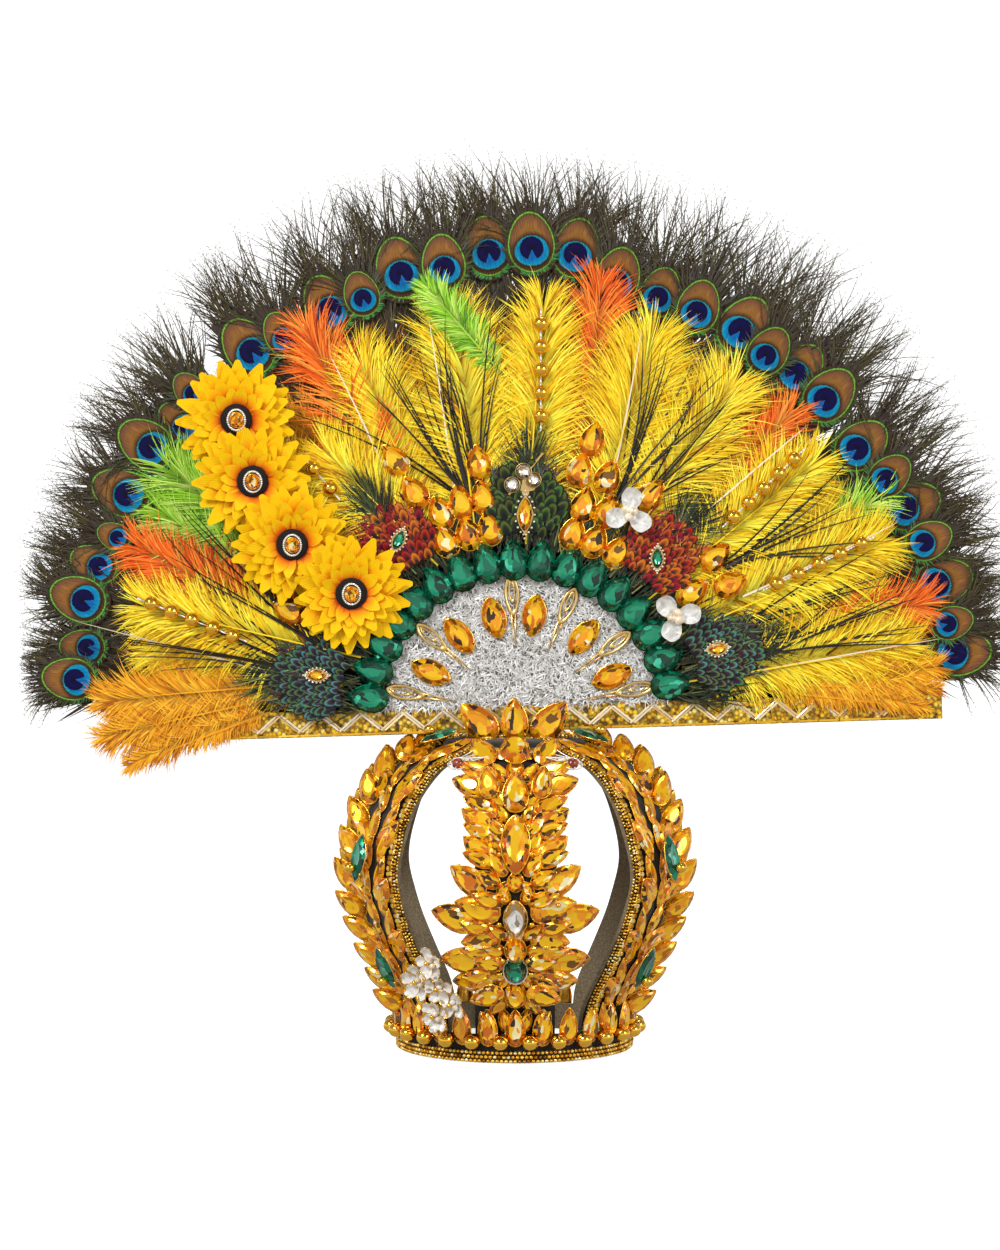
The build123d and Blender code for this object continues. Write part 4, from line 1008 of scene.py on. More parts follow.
# %% Where every stone lies
def stone_frame(points, triangles, outward):
    """A stone's place, width, length and front directions, its sizes, kind, and a ball fused to it."""
    corners = points[triangles]
    normals = np.cross(corners[:, 1] - corners[:, 0], corners[:, 2] - corners[:, 0])
    areas = np.linalg.norm(normals, axis=1)
    normals = normals / np.maximum(areas, 1e-12)[:, None]
    facing = np.flatnonzero(normals @ outward > -0.05)
    same = normals[facing] @ normals[facing].T > 0.9995
    best = np.argmax(same @ areas[facing])
    front = normals[facing[best]]
    heights = points @ front
    on_table = heights[triangles[facing[same[best]]]].max()
    flat = points - np.outer(heights, front)
    gaps = np.linalg.norm(flat[:, None] - flat[None], axis=2)
    first, last = np.unravel_index(np.argmax(gaps), gaps.shape)
    long = (flat[first] - flat[last]) / gaps[first, last]
    wide = np.cross(long, front)
    middle = (points[first] + points[last]) / 2
    across, along = (points - middle) @ wide, (points - middle) @ long
    width, length = 2 * np.abs(across).max(), gaps[first, last]
    widest = along[np.argmax(np.abs(across))]
    kind = "navette"
    if abs(widest) > 0.05 * length:
        kind = "pear"
        if widest > 0:
            long, wide = -long, -wide
    elif np.abs(across[np.abs(along) > 0.3 * length]).max(initial=0) > 0.3 * width:
        kind = "oval"
    depth = on_table - middle @ front
    ball = points[heights > on_table + 0.6 * MM]
    return middle, wide, long, front, (width, length, depth), kind, ball


def outward_from_axis(centre):
    """Away from the middle of the orb."""
    away = centre - np.array((0.0, 0.0, 0.120))
    return away / np.linalg.norm(away)


def outward_to_front(centre):
    return fan_out


AMBER, EMERALD, CRYSTAL, CALM = 0, 1, 2, 3
stone_places = {(kind, glass): [] for kind in ("pear", "navette", "oval") for glass in range(4)}
green_balls = []


def dress_stones(node, outward, glass_of, grow=(1.0, 1.0)):
    """Notes where each stone of a node goes, a little larger than its solid, in the glass it has."""
    for points, triangles in loose_solids(node):
        centre = middle_of(points)
        middle, wide, long, front, sizes, kind, ball = stone_frame(points, triangles, outward(centre))
        width, length, depth = sizes
        wider, longer = (1.08, 1.04) if abs(middle[0]) < 3 * MM and node in FRONT_STONES else grow
        matrix = place(middle, wide, long, front, (wider * width, longer * length, depth))
        stone_places[kind, glass_of(kind, middle)].append(matrix)
        if len(ball):
            green_balls.append(middle_of(ball))


def all_amber(kind, middle):
    return AMBER


def all_emerald(kind, middle):
    return EMERALD


def navettes_green(kind, middle):
    return EMERALD if kind == "navette" else AMBER


GREEN_OVAL_HEIGHT = 76.0 * MM
CLEAR_NAVETTE_HEIGHT = 119.0 * MM


def front_column_glass(kind, middle):
    """Two stones on the front column's middle line aren't amber."""
    if abs(middle[0]) < 3 * MM and kind == "oval" and abs(middle[2] - GREEN_OVAL_HEIGHT) < 4 * MM:
        return EMERALD
    if abs(middle[0]) < 3 * MM and kind == "navette" and abs(middle[2] - CLEAR_NAVETTE_HEIGHT) < 4 * MM:
        return CRYSTAL
    return AMBER


ORB_STONES = (
    "stones_right_front", "stones_right_back", "stones_back", "stones_left_back", "stones_left_front",
)
FRONT_STONES = ("front_stones_upper", "front_stones_lower")
CLUSTERS = ("cluster_left", "cluster_right", "crest_stones")
WIDER = (1.28, 1.1)
for node in ORB_STONES:
    dress_stones(node, outward_from_axis, navettes_green, WIDER)
for node in FRONT_STONES:
    dress_stones(node, outward_from_axis, front_column_glass, (1.45, 1.22))
for node in CLUSTERS:
    dress_stones(node, outward_to_front, all_amber, (1.45, 1.18))
dress_stones("disc_navettes", outward_to_front, all_amber)
dress_stones("emerald_arc", outward_to_front, all_emerald, (1.34, 1.12))
dress_stones("band_drops", outward_from_axis, all_amber, (1.25, 1.1))
for key, places in stone_places.items():
    print("stones", key, len(places))


# %% [markdown]
# The six strips that make the open orb are stiff board covered in black felt outside and left grey-brown
# inside. The solid is the right shape, so it only gets a finish: the material tells the outside from the
# inside by which way a face looks, away from the middle of the orb or towards it.

# %% Felt and board
ORB_MIDDLE = (0, 0, 0.12)
FIBRE = 1.2 * MM


def felt_and_board(name, middle):
    """Black wool felt, matt with a fine nap, and on faces that look inwards a raw grey-brown board."""
    material = new_material(name)
    places = add_node(material, "TexCoord")
    away = add_node(material, "VectorMath", {0: places.outputs["Object"], 1: middle}, operation="SUBTRACT")
    shape = add_node(material, "NewGeometry")
    facing = add_node(
        material, "VectorMath", {0: away, 1: shape.outputs["True Normal"]}, operation="DOT_PRODUCT",
    )
    outside = add_node(material, "Math", {0: facing.outputs["Value"], 1: 0.05}, operation="GREATER_THAN")
    fibres = add_node(
        material, "TexNoise", {"Vector": places.outputs["Object"], "Scale": 1 / FIBRE, "Detail": 3.0},
    )
    felt = add_node(
        material, "ValToRGB", {"Fac": fibres}, stops=[(0.35, "#0b0a0a"), (0.5, "#1a1816"), (0.7, "#322e28")],
    )
    board = add_node(
        material, "ValToRGB", {"Fac": fibres}, stops=[(0.3, "#5b4d38"), (0.5, "#7c6c52"), (0.7, "#978669")],
    )
    colour = add_node(material, "Mix", {"Factor": outside, "A": board, "B": felt}, data_type="RGBA")
    bump = add_node(material, "Bump", {"Height": fibres, "Strength": 0.5, "Distance": 0.4 * MM})
    return finished(material, {
        "Base Color": colour, "Normal": bump, "Roughness": 0.92, "Sheen Weight": 0.15,
    })


def finish_node(node, material):
    """Gives a CAD node that keeps its own shape a finished material."""
    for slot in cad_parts[node].material_slots:
        slot.material = material


STRIPS = {
    "strip_front": 0, "strip_right_front": 56, "strip_right_back": 124, "strip_back": 180,
    "strip_left_back": 236, "strip_left_front": 304,
}
SIDE_STRIPS = tuple(STRIPS)[1:]
orb_cloth = felt_and_board("black_felt_over_board", ORB_MIDDLE)
for node in (*STRIPS, "band", "crown_cap"):
    finish_node(node, orb_cloth)


# %% [markdown]
# Beads and more stones are sewn along the strips, so the next function reads each strip's own curve off
# its solid: where its outer face runs from the foot to the cap, which way it looks and how wide it is.

# %% The curve of a strip
def strip_curve(node, azimuth, steps=80):
    """Rows of place, outward and upward directions along a strip, with its half width at each."""
    turn = radians(azimuth)
    outward, aside = np.array((sin(turn), -cos(turn), 0.0)), np.array((cos(turn), sin(turn), 0.0))
    points = points_of(node)
    out, side, up = points @ outward, points @ aside, points[:, 2]
    angle = np.arctan2(up - ORB_MIDDLE[2], out)
    reach = np.hypot(up - ORB_MIDDLE[2], out)
    order = np.linspace(angle.min(), angle.max(), steps)
    line, half = [], []
    for low, high in zip(order[:-1], order[1:]):
        near = (angle >= low - 1e-6) & (angle <= high + 1e-6)
        if near.any():
            best = np.flatnonzero(near)[np.argmax(reach[near])]
            line.append((out[best], up[best]))
            half.append(np.abs(side[near]).max())
    line, half = np.array(line), np.array(half)
    gaps = np.append(0, np.cumsum(np.linalg.norm(np.diff(line, axis=0), axis=1)))
    even = np.linspace(0, gaps[-1], 60)
    line = np.stack([np.interp(even, gaps, column) for column in line.T], 1)
    half = np.interp(even, gaps, half)
    kernel = np.ones(5) / 5
    for column in range(2):
        line[2:-2, column] = np.convolve(line[:, column], kernel, "valid")
    run = np.gradient(line, axis=0)
    run /= np.linalg.norm(run, axis=1, keepdims=True)
    places = np.outer(line[:, 0], outward) + np.outer(line[:, 1], (0, 0, 1))
    upward = np.outer(run[:, 0], outward) + np.outer(run[:, 1], (0, 0, 1))
    normal = np.outer(run[:, 1], outward) - np.outer(run[:, 0], (0, 0, 1))
    return {"places": places, "up": upward, "out": normal, "aside": aside, "half": half, "length": gaps[-1]}


def at_share(curve, share):
    """Place, up and out directions and half width at a share of a strip's length."""
    row = np.clip(share, 0, 1) * (len(curve["places"]) - 1)
    low = int(min(row, len(curve["places"]) - 2))
    mix = row - low
    keys = ("places", "up", "out", "half")
    return [curve[key][low] * (1 - mix) + curve[key][low + 1] * mix for key in keys]


curves = {node: strip_curve(node, azimuth) for node, azimuth in STRIPS.items()}
for node, curve in curves.items():
    print(node, "length", round(curve["length"], 3), "half width", curve["half"][[0, 30, -1]].round(4))


# %% [markdown]
# The modelled solids hold the main stones. On the real crown smaller leaf stones are tucked under and
# between them, so that hardly any felt shows: a row along the far edge of each side strip, whose tips
# stand out as points round the orb, a chain up the middle, and an under-layer on the front column.

# %% Stones between the main ones
LEAF = (20 * MM, 31 * MM, 3.4 * MM)
NARROW_LEAF = (12.5 * MM, 29 * MM, 3 * MM)
EDGE_ROWS = 12
CHAIN_ROWS = 11
EDGE_TURN = 38.0
CHAIN_ASIDE = 6.8 * MM
UNDER_DEPTH = 3.2 * MM
# Under-layer of the front column: share of the strip's length, aside in mm, lean, width and length in mm
UNDER_STONES = (
    (0.772, 30, 58, 21, 37), (0.738, 22, 46, 19, 32), (0.675, 28, 62, 17, 28), (0.612, 28, 66, 17, 27),
    (0.548, 28, 72, 17, 27), (0.385, 31, 74, 16, 26), (0.318, 30, 80, 16, 27), (0.252, 30, 98, 15, 25),
    (0.845, 13, 30, 15, 24), (0.765, 12, 30, 13, 22), (0.69, 14.5, 35, 15, 25), (0.62, 16, 42, 15, 25),
    (0.535, 15, 40, 15, 24), (0.5, 22, 62, 15, 22), (0.475, 10, 140, 10, 15), (0.452, 22, 70, 16, 25),
    (0.372, 13, 60, 13, 20), (0.325, 17, 75, 13, 21), (0.255, 14, 100, 13, 20), (0.235, 25, 112, 15, 25),
    (0.165, 13, 135, 13, 21), (0.652, 10.5, 25, 12, 18), (0.585, 15.5, 35, 13, 20), (0.463, 9, 20, 11, 15),
    (0.125, 8, 12, 13, 21), (0.12, 23, 25, 13, 20), (0.235, 9.5, 150, 11, 16),
)
MIDDLE_STONES = ((0.775, 14, 20), (0.492, 13, 15), (0.365, 17, 21), (0.235, 15, 18))


def strip_place(curve, share, aside, standoff, lean, sizes, turn=0.0):
    """A stone's matrix on a strip: leaned in the strip's plane, then turned about the strip's own line."""
    origin, up, out, half = at_share(curve, share)
    across = curve["aside"]
    c, s = cos(radians(turn)), sin(radians(turn))
    across, front = c * across + s * out, c * out - s * across
    tip = cos(radians(lean)) * up + sin(radians(lean)) * across
    wide = np.cross(tip, front)
    return place(origin + curve["aside"] * aside + out * standoff, wide, tip, front, sizes)


small_leaves = stone_places["pear", CALM]
for node in SIDE_STRIPS:
    curve = curves[node]
    far_sides = {"strip_right_front": (1,), "strip_left_front": (-1,)}.get(node, (1, -1))
    for side in far_sides:
        for row in range(EDGE_ROWS):
            share = 0.15 + 0.068 * row + random.uniform(-0.006, 0.006)
            edge = side * (at_share(curve, share)[3] - 1.5 * MM)
            lean = side * random.uniform(34, 46)
            small_leaves.append(strip_place(curve, share, edge, 7.5 * MM, lean, LEAF, side * EDGE_TURN))
    near_sides = {"strip_right_front": (-1,), "strip_left_front": (1,)}.get(node, (-1, 1))
    for side in near_sides:
        for row in range(EDGE_ROWS + 1):
            share = 0.12 + 0.064 * row + random.uniform(-0.004, 0.004)
            edge = side * (at_share(curve, share)[3] - 15.5 * MM)
            lean = side * random.uniform(12, 22)
            small_leaves.append(strip_place(curve, share, edge, 3.0 * MM, lean, NARROW_LEAF))
    for row in range(CHAIN_ROWS):
        share = 0.16 + 0.068 * row
        lean = (8 if row % 2 else -8) + random.uniform(-4, 4)
        for side in far_sides:
            shift, turn = share + 0.02 * side, lean + side * 10
            small_leaves.append(strip_place(curve, shift, side * CHAIN_ASIDE, 2.2 * MM, turn, NARROW_LEAF))
curve = curves["strip_front"]
for share, aside, lean, width, length in UNDER_STONES:
    for side in (-1, 1):
        sizes = (width * MM, length * MM, UNDER_DEPTH)
        matrix = strip_place(curve, share, side * aside * MM, 3.0 * MM, side * lean, sizes)
        stone_places["pear", AMBER].append(matrix)
for share, width, length in MIDDLE_STONES:
    matrix = strip_place(curve, share, 0, 3.0 * MM, 0, (width * MM, length * MM, UNDER_DEPTH))
    stone_places["oval", AMBER].append(matrix)
print("stones between the main ones", len(small_leaves) + 2 * len(UNDER_STONES) + len(MIDDLE_STONES))

# A row of small ovals hides the edge of the cap, where the strips meet
CAP_OVAL = (9.5 * MM, 9 * MM, 3 * MM)
upright = np.array((0, 0, 1))
cap_low, cap_high = [np.array(corner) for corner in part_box("crown_cap")]
cap_radius = (cap_high[0] - cap_low[0]) / 2
for turn in range(-66, 67, 12):
    out = np.array((sin(radians(turn)), -cos(radians(turn)), 0.0))
    right = np.array((-out[1], out[0], 0.0))
    middle = (cap_low + cap_high) / 2 + out * (cap_radius + 1 * MM)
    stone_places["oval", AMBER].append(place(middle, right, upright, out, CAP_OVAL))


# %% [markdown]
# All stones of one outline and glass are copied as one piece, with the settings as a second piece. The
# settings are gilt, apart from a green lacquered rim on the green pears and silver on the green oval.

# %% Stones and their settings
STONE_PIECES = {
    "amber_leaf": ("pear", AMBER, (*ORB_STONES, *FRONT_STONES, *CLUSTERS, "band_drops")),
    "small_amber_leaf": ("pear", CALM, ()),
    "amber_navette": ("navette", AMBER, ("disc_navettes",)),
    "amber_oval": ("oval", AMBER, ()),
    "green_leaf": ("pear", EMERALD, ("emerald_arc",)),
    "green_navette": ("navette", EMERALD, ()),
    "green_oval": ("oval", EMERALD, ()),
    "clear_navette": ("navette", CRYSTAL, ()),
}
emerald_rim = metal("dark_green_lacquered_rim", "#04482f", 0.3, 4.0, 0.1)
GLASS = {
    AMBER: (amber, "amber_glass"), EMERALD: (emerald, "green_glass"), CRYSTAL: (crystal, "silver_pearl"),
    CALM: (calm_amber, "amber_glass"),
}
RIMS = {"green_leaf": (emerald_rim, "green_glass", 1.0), "green_oval": (silver_rim, "silver_pearl", 1.16)}
for name, (kind, glass, nodes) in STONE_PIECES.items():
    places = stone_places[kind, glass]
    material, slot_name = GLASS[glass]
    copies(f"{name}_stones", stone_model(kind), places, material, slot_name, nodes)
    rim, rim_slot, wider = RIMS.get(name, (setting_gold, "gold_metal", 1.0))
    places = [matrix @ np.diag((wider, wider, 1.0, 1.0)) for matrix in places]
    copies(f"{name}_settings", cup_model(kind), places, rim, rim_slot)


# %% [markdown]
# Gold and silver beads are everywhere: a braid of seed beads round the foot of the band and along the
# edges of the strips, a ball on every green stone, and rings round the flowers' jewels. A seed bead is
# only about 2.5 mm across, so a sphere of twenty faces with smooth shading is round enough.

# %% Beads
SEED_BEAD = 2.6 * MM
FOOT_BEAD = 3.6 * MM
BALL = 9.5 * MM
CUP = 4.2 * MM
# Braid along a strip's edge: rows of beads, in mm from the edge and out from the face, and rows of cups
BRAID_ROWS = ((-0.9, -2.2), (-0.8, 0.2), (0.9, 1.3))
CUP_ROWS = (2.6, 5.9)


def bead_model(name="bead", detail=1):
    """A small ball of radius 1, slightly squeezed like a drilled bead."""
    model = start_model(name, bpy.ops.mesh.primitive_ico_sphere_add, subdivisions=detail, radius=1.0)
    bpy.ops.transform.resize(value=(1, 1, 0.9))
    return end_model(80)


def sequin_model():
    """A small cup sequin: a dished ring with a hole in the middle."""
    model = start_model("sequin", bpy.ops.mesh.primitive_circle_add, vertices=9, radius=1.0, fill_type="NGON")
    for share, lift in ((0.72, 0.38), (0.45, -0.5)):
        bpy.ops.mesh.inset(thickness=0)
        bpy.ops.transform.resize(value=(share, share, 1))
        bpy.ops.transform.translate(value=(0, 0, lift))
    return end_model(80)


def bead_places(places, diameter):
    """Matrices for beads of one size at points."""
    matrices = np.tile(np.diag((diameter / 2, diameter / 2, diameter / 2, 1.0)), (len(places), 1, 1))
    matrices[:, :3, 3] = places
    return matrices


def seed_bead_finish():
    """Gilt seed beads and sequin cups, of which some are paler or darker than their neighbours."""
    material = new_material("gilt_seed_beads")
    pick = add_node(material, "SeparateXYZ", {"Vector": add_node(material, "UVMap", uv_map="tone")})
    colour = add_node(
        material, "ValToRGB", {"Fac": pick.outputs["X"]},
        stops=[(0.0, "#7a4c08"), (0.2, "#c88c18"), (0.5, "#f4b830"), (0.8, "#ffd862"), (1.0, "#fff2c8")],
    )
    return finished(material, {"Base Color": colour, "Metallic": 0.65, "Roughness": 0.22})


# %% [markdown]
# The braid and the sequin cups follow the near edges of the side strips, with a little unevenness as in
# hand sewing. Three straight rows of larger beads run round the foot of the band.

# %% Beads in their rows
seed_gold = seed_bead_finish()
edge_beads, edge_cups = [], []
for node in SIDE_STRIPS:
    curve = curves[node]
    sides = {"strip_right_front": (-1,), "strip_left_front": (1,)}.get(node, (-1, 1))
    count = int(curve["length"] / (SEED_BEAD * 1.05))
    for side in sides:
        for inward, out_by in BRAID_ROWS:
            for number in range(count):
                share = (number + 0.5 * (out_by > 0) + random.uniform(-0.15, 0.15)) / count
                origin, up, out, half = at_share(curve, share)
                aside = side * (half - inward * MM) + random.normal(0, 0.15) * MM
                edge_beads.append(origin + curve["aside"] * aside + out * out_by * MM)
        for inward in CUP_ROWS:
            cups = int(curve["length"] / CUP)
            for number in range(cups):
                share = (number + random.uniform(-0.1, 0.1)) / cups
                origin, up, out, half = at_share(curve, share)
                middle = origin + curve["aside"] * side * (half - inward * MM) + out * 1.6 * MM
                edge_cups.append(place(middle, np.cross(up, out), up, out, (CUP / 2, CUP / 2, CUP / 2)))
copies("strip_edge_beads", bead_model(), bead_places(edge_beads, SEED_BEAD), seed_gold, "gold_beads")
copies("strip_sequin_cups", sequin_model(), edge_cups, seed_gold, "gold_beads")

braid = points_of("band_braid")
braid_reach = np.hypot(braid[:, 0], braid[:, 1]).max()
foot_beads = []
for row, (height, inward) in enumerate(((1.6, 1.2), (4.8, 0.9), (8.0, 1.6))):
    radius = braid_reach - inward * MM
    count = int(2 * pi * radius / FOOT_BEAD)
    for number in range(count):
        turn = 2 * pi * (number + 0.5 * (row % 2)) / count
        foot_beads.append((radius * sin(turn), -radius * cos(turn), height * MM))
copies(
    "band_seed_beads", bead_model(), bead_places(foot_beads, FOOT_BEAD * 1.04), seed_gold, "gold_beads",
    ("band_braid",),
)
green_ball_places = bead_places(green_balls, BALL)
copies("balls_on_green_stones", bead_model("ball", 3), green_ball_places, bright_gold, "gold_metal")
ball_centres = [middle_of(points) for points, _ in loose_solids("band_balls")]
BAND_BALL = 13.0 * MM
copies(
    "band_gilt_balls", bead_model("ball", 3), bead_places(ball_centres, BAND_BALL), bright_gold, "gold_metal",
    ("band_balls",),
)
for number in range(1, 6):
    finish_node(f"bead_string_{number}", bright_gold)


# %% [markdown]
# The fan's foot is a bar wrapped in gold brocade: a ground of gilt sequins with a pair of pale cords
# couched over it in a zigzag, and a straight gilt cord along its lower edge. The ground's sparkle is
# painted: a pattern of small cells in the material, each tilted by a bump and given its own tone from
# dark to pale gold. The cords stand proud, so they are real strands, laid along the bar's front by arrays.

# %% Brocade bar
SEQUIN = 3.2 * MM
ZIGZAG_PITCH = 34.0 * MM
CORD_WIDTH = 1.6 * MM


def brocade():
    """Gold brocade: gilt sequins, tilted by a bump, each with a painted sparkle, and dark thread between
    them.
    """
    material = new_material("gold_sequin_brocade")
    places = add_node(material, "TexCoord")
    cells = add_node(material, "TexVoronoi", {"Vector": places.outputs["Object"], "Scale": 1 / SEQUIN})
    pick = add_node(material, "SeparateXYZ", {"Vector": cells.outputs["Color"]})
    # Painted sparkle: each sequin's cell gets its own tone from dark to pale gold, as if it caught the light
    # its own way.
    colour = add_node(
        material, "ValToRGB", {"Fac": pick.outputs["X"]},
        stops=[(0.0, "#5a3c00"), (0.15, "#b07c00"), (0.45, "#e8ac00"), (0.8, "#ffce18"), (1.0, "#fff090")],
    )
    shaded = dimmed(material, colour, cells, (0.35, 0.62), (1.0, 0.35))
    bump = add_node(material, "Bump", {"Height": pick.outputs["Y"], "Strength": 1.0, "Distance": 0.8 * MM})
    return finished(material, {"Base Color": shaded, "Normal": bump, "Metallic": 0.3, "Roughness": 0.35})


def cord_finish(name, dark, light, metallic):
    """Couched metal thread, darker and lighter from strand to strand."""
    material = new_material(name)
    parts = add_node(material, "SeparateXYZ", {"Vector": add_node(material, "UVMap", uv_map="strand")})
    colour = add_node(material, "ValToRGB", {"Fac": parts.outputs["Y"]}, stops=[(0.0, dark), (1.0, light)])
    return finished(material, {"Base Color": colour, "Metallic": metallic, "Roughness": 0.35})


finish_node("fan_bar", brocade())
pale_cord = cord_finish("pale_gilt_couching_cord", "#e8b020", "#f4e8cc", 0.3)
bar_span = bar @ fan_right
bar_up = bar @ fan_up
bar_low, bar_high = bar_up.min(), bar_up.max()
bar_height = bar_high - bar_low
bar_front = front_of("fan_bar")
pitches = int((bar_span.max() - bar_span.min() - 4 * MM) / ZIGZAG_PITCH)
origin_up = fan_centre @ fan_up
origin_right = fan_centre @ fan_right
roots, heads = [], []
low, high = bar_low + 0.2 * bar_height, bar_low + 0.88 * bar_height
for number in range(2 * pitches):
    x = bar_span.min() + 2 * MM + number * ZIGZAG_PITCH / 2
    start, end = (low, high) if number % 2 else (high, low)
    for strand in (-1.0, 1.0):
        roots.append((x + strand * CORD_WIDTH - origin_right, start - origin_up, bar_front + 0.9 * MM))
        heads.append((ZIGZAG_PITCH / 2, end - start, random.uniform(-0.2, 0.2) * MM))
    roots.append((x - origin_right, bar_low + 0.07 * bar_height - origin_up, bar_front + 0.9 * MM))
    heads.append((ZIGZAG_PITCH / 2, 0.0, 0.0))
roots, heads = np.array(roots), np.array(heads)
tones = np.where(heads[:, 1] == 0, 0.0, random.uniform(0.3, 1, len(roots)))
cords = ribbons(roots, heads, 0.0, CORD_WIDTH, tones, 8, 0.3, 0.0)
fan_piece("bar_couching_cords", [cords], pale_cord, "gold_brocade")

# %% [markdown]
# The half disc in the fan's middle is covered in a dense scribble of silver bullion: short coils of
# bright wire, cut and laid every way. Under it is a crinkled silver cloth. Some thousands of short bent
# ribbons give the scribble, and a gilt leaf outline lies on it at six places.

# %% Silver disc with its bullion
DISC_RADIUS = 124.0 * MM
BULLION_LENGTH = 7.0 * MM
BULLION_COUNT = 9500
silver_cloth = metal("crinkled_silver_cloth", "#7c786f", 0.6, 3.0, 0.5)
finish_node("silver_disc", silver_cloth)
disc_front = front_of("silver_disc")
floor_line = bar_high - origin_up
angles = np.radians(random.uniform(0, 180, BULLION_COUNT))
reach = DISC_RADIUS * 0.985 * np.sqrt(random.uniform(0, 1, BULLION_COUNT))
roots = np.stack((
    reach * np.cos(angles), reach * np.sin(angles), disc_front + random.uniform(0.2, 1.4, BULLION_COUNT) * MM,
), 1)
roots = roots[roots[:, 1] > floor_line]
count = len(roots)
turns = random.uniform(0, 2 * pi, count)
lengths = BULLION_LENGTH * random.uniform(0.5, 1.2, count)
heads = np.stack((np.cos(turns), np.sin(turns), np.zeros(count)), 1) * lengths[:, None]
heads[:, 2] = random.uniform(-0.6, 0.6, count) * MM
bends = turned(heads, pi / 2) * random.choice((-1.0, 1.0), count)[:, None]
coils = ribbons(
    roots, heads, bends * random.uniform(0.3, 1.0, count)[:, None], 1.15 * MM,
    random.uniform(0, 1, count), 3, 0.9,
)
bullion = cord_finish("silver_bullion_wire", "#c0bcb4", "#ffffff", 0.1)
fan_piece("silver_bullion", [coils], bullion, "silver_cloth")

# %% [markdown]
# Each gilt leaf on the disc is cast filigree: a looped outline, a smaller loop inside its head and a stem
# that runs to a point. The loops start as torus rings and are squeezed to leaf shape.

# %% Filigree leaves
def filigree_model():
    """A leaf of length 1 along Y, from its pointed foot at -0.5 to its rounded head at 0.5."""
    model = start_model(
        "filigree_leaf", bpy.ops.mesh.primitive_torus_add, major_segments=20, minor_segments=5,
        major_radius=1.0, minor_radius=0.24,
    )
    bpy.ops.transform.resize(value=(0.42, 0.25, 1))
    bpy.ops.transform.translate(value=(0, 0.26, 0))
    bpy.ops.mesh.select_all(action="DESELECT")
    bpy.ops.mesh.primitive_torus_add(major_segments=14, minor_segments=5, major_radius=1.0, minor_radius=0.3)
    bpy.ops.transform.resize(value=(0.17, 0.14, 0.8), center_override=(0, 0, 0))
    bpy.ops.transform.translate(value=(0, 0.32, 0.1))
    for side in (-1, 1):
        bpy.ops.mesh.select_all(action="DESELECT")
        bpy.ops.mesh.primitive_cone_add(
            vertices=6, radius1=0.05, radius2=0.11, depth=1.0, rotation=(-pi / 2, 0, 0),
        )
        bpy.ops.transform.resize(value=(1, 0.62, 1), center_override=(0, 0, 0))
        bpy.ops.transform.rotate(value=side * 0.28, orient_axis="Z", center_override=(0, 0, 0))
        bpy.ops.transform.translate(value=(side * 0.12, -0.18, 0))
    end_model(60)
    for vertex in model.data.vertices:
        if vertex.co.y < 0.26:
            vertex.co.x *= np.interp(vertex.co.y, (-0.5, 0.0, 0.26), (0.25, 0.75, 1.0))
    return model


LEAF_WIDER, LEAF_DEPTH = 1.9, 2.2 * MM
filigree_places = []
for points, triangles in loose_solids("gold_filigree"):
    middle, wide, long, front, sizes, kind, ball = stone_frame(points, triangles, fan_out)
    if long @ (middle - fan_centre) < 0:
        long, wide = -long, -wide
    leaf_size = (LEAF_WIDER * sizes[0], sizes[1], LEAF_DEPTH)
    filigree_places.append(place(middle + fan_out * 1.0 * MM, wide, long, front, leaf_size))
copies(
    "filigree_leaves", filigree_model(), filigree_places, filigree_gold, "painted_wire", ("gold_filigree",),
)

# %% [markdown]
# A silk sunflower has four layers of heat-pressed petals on a stem, with a black pile button in the
# middle. One petal is extruded step by step from its root, narrowed to a blunt point and creased along
# its middle. It is then copied round each layer, and every layer is shorter and stands up more.

# %% Silk sunflowers
FLOWER_RADIUS = 46.0 * MM
BUTTON_RADIUS = 13.0 * MM
# Petals of each layer: number, tip in flower radii, width in mm, lift in degrees, height in mm
PETAL_LAYERS = (
    (18, 1.06, 15.5, 4, 1), (18, 0.95, 15.5, 9, 2), (17, 0.78, 14, 15, 3), (16, 0.6, 11.5, 24, 4),
)


def petal_model(name, widths, crease):
    """A petal of length 1 along Y from its root, extruded in steps of the widths given."""
    step = 1.0 / (len(widths) - 1)
    model = start_model(name, bpy.ops.mesh.primitive_grid_add, x_subdivisions=4, y_subdivisions=1, size=1.0)
    bpy.ops.transform.resize(value=(widths[0], step, 1))
    bpy.ops.transform.translate(value=(0, step / 2, 0))
    bpy.ops.mesh.select_all(action="DESELECT")
    bpy.ops.object.mode_set(mode="OBJECT")
    for vertex in model.data.vertices:
        vertex.select = vertex.co.y > step * 0.9
    bpy.ops.object.mode_set(mode="EDIT")
    bpy.ops.transform.resize(value=(widths[1] / widths[0], 1, 1))
    for before, after in zip(widths[1:-1], widths[2:]):
        bpy.ops.mesh.extrude_region_move(TRANSFORM_OT_translate={"value": (0, step, 0)})
        bpy.ops.transform.resize(value=(after / before, 1, 1))
    end_model()
    flat_uv(model)
    for vertex in model.data.vertices:
        x, y = vertex.co.x, vertex.co.y
        rounded = 1 - 0.2 * (2 * x) ** 2 * y
        vertex.co.y = y * rounded
        vertex.co.z = crease * (abs(x) * 2 - 0.5) * sin(pi * min(y, 1)) - 0.10 * y ** 2
    for face in model.data.polygons:
        face.use_smooth = True
    return model


# %% [markdown]
# Silk takes the dye unevenly: deep orange at the root, warm yellow at the tip. The button is black
# flocked pile, which swallows light, so its soft edge is nearly all that shows.

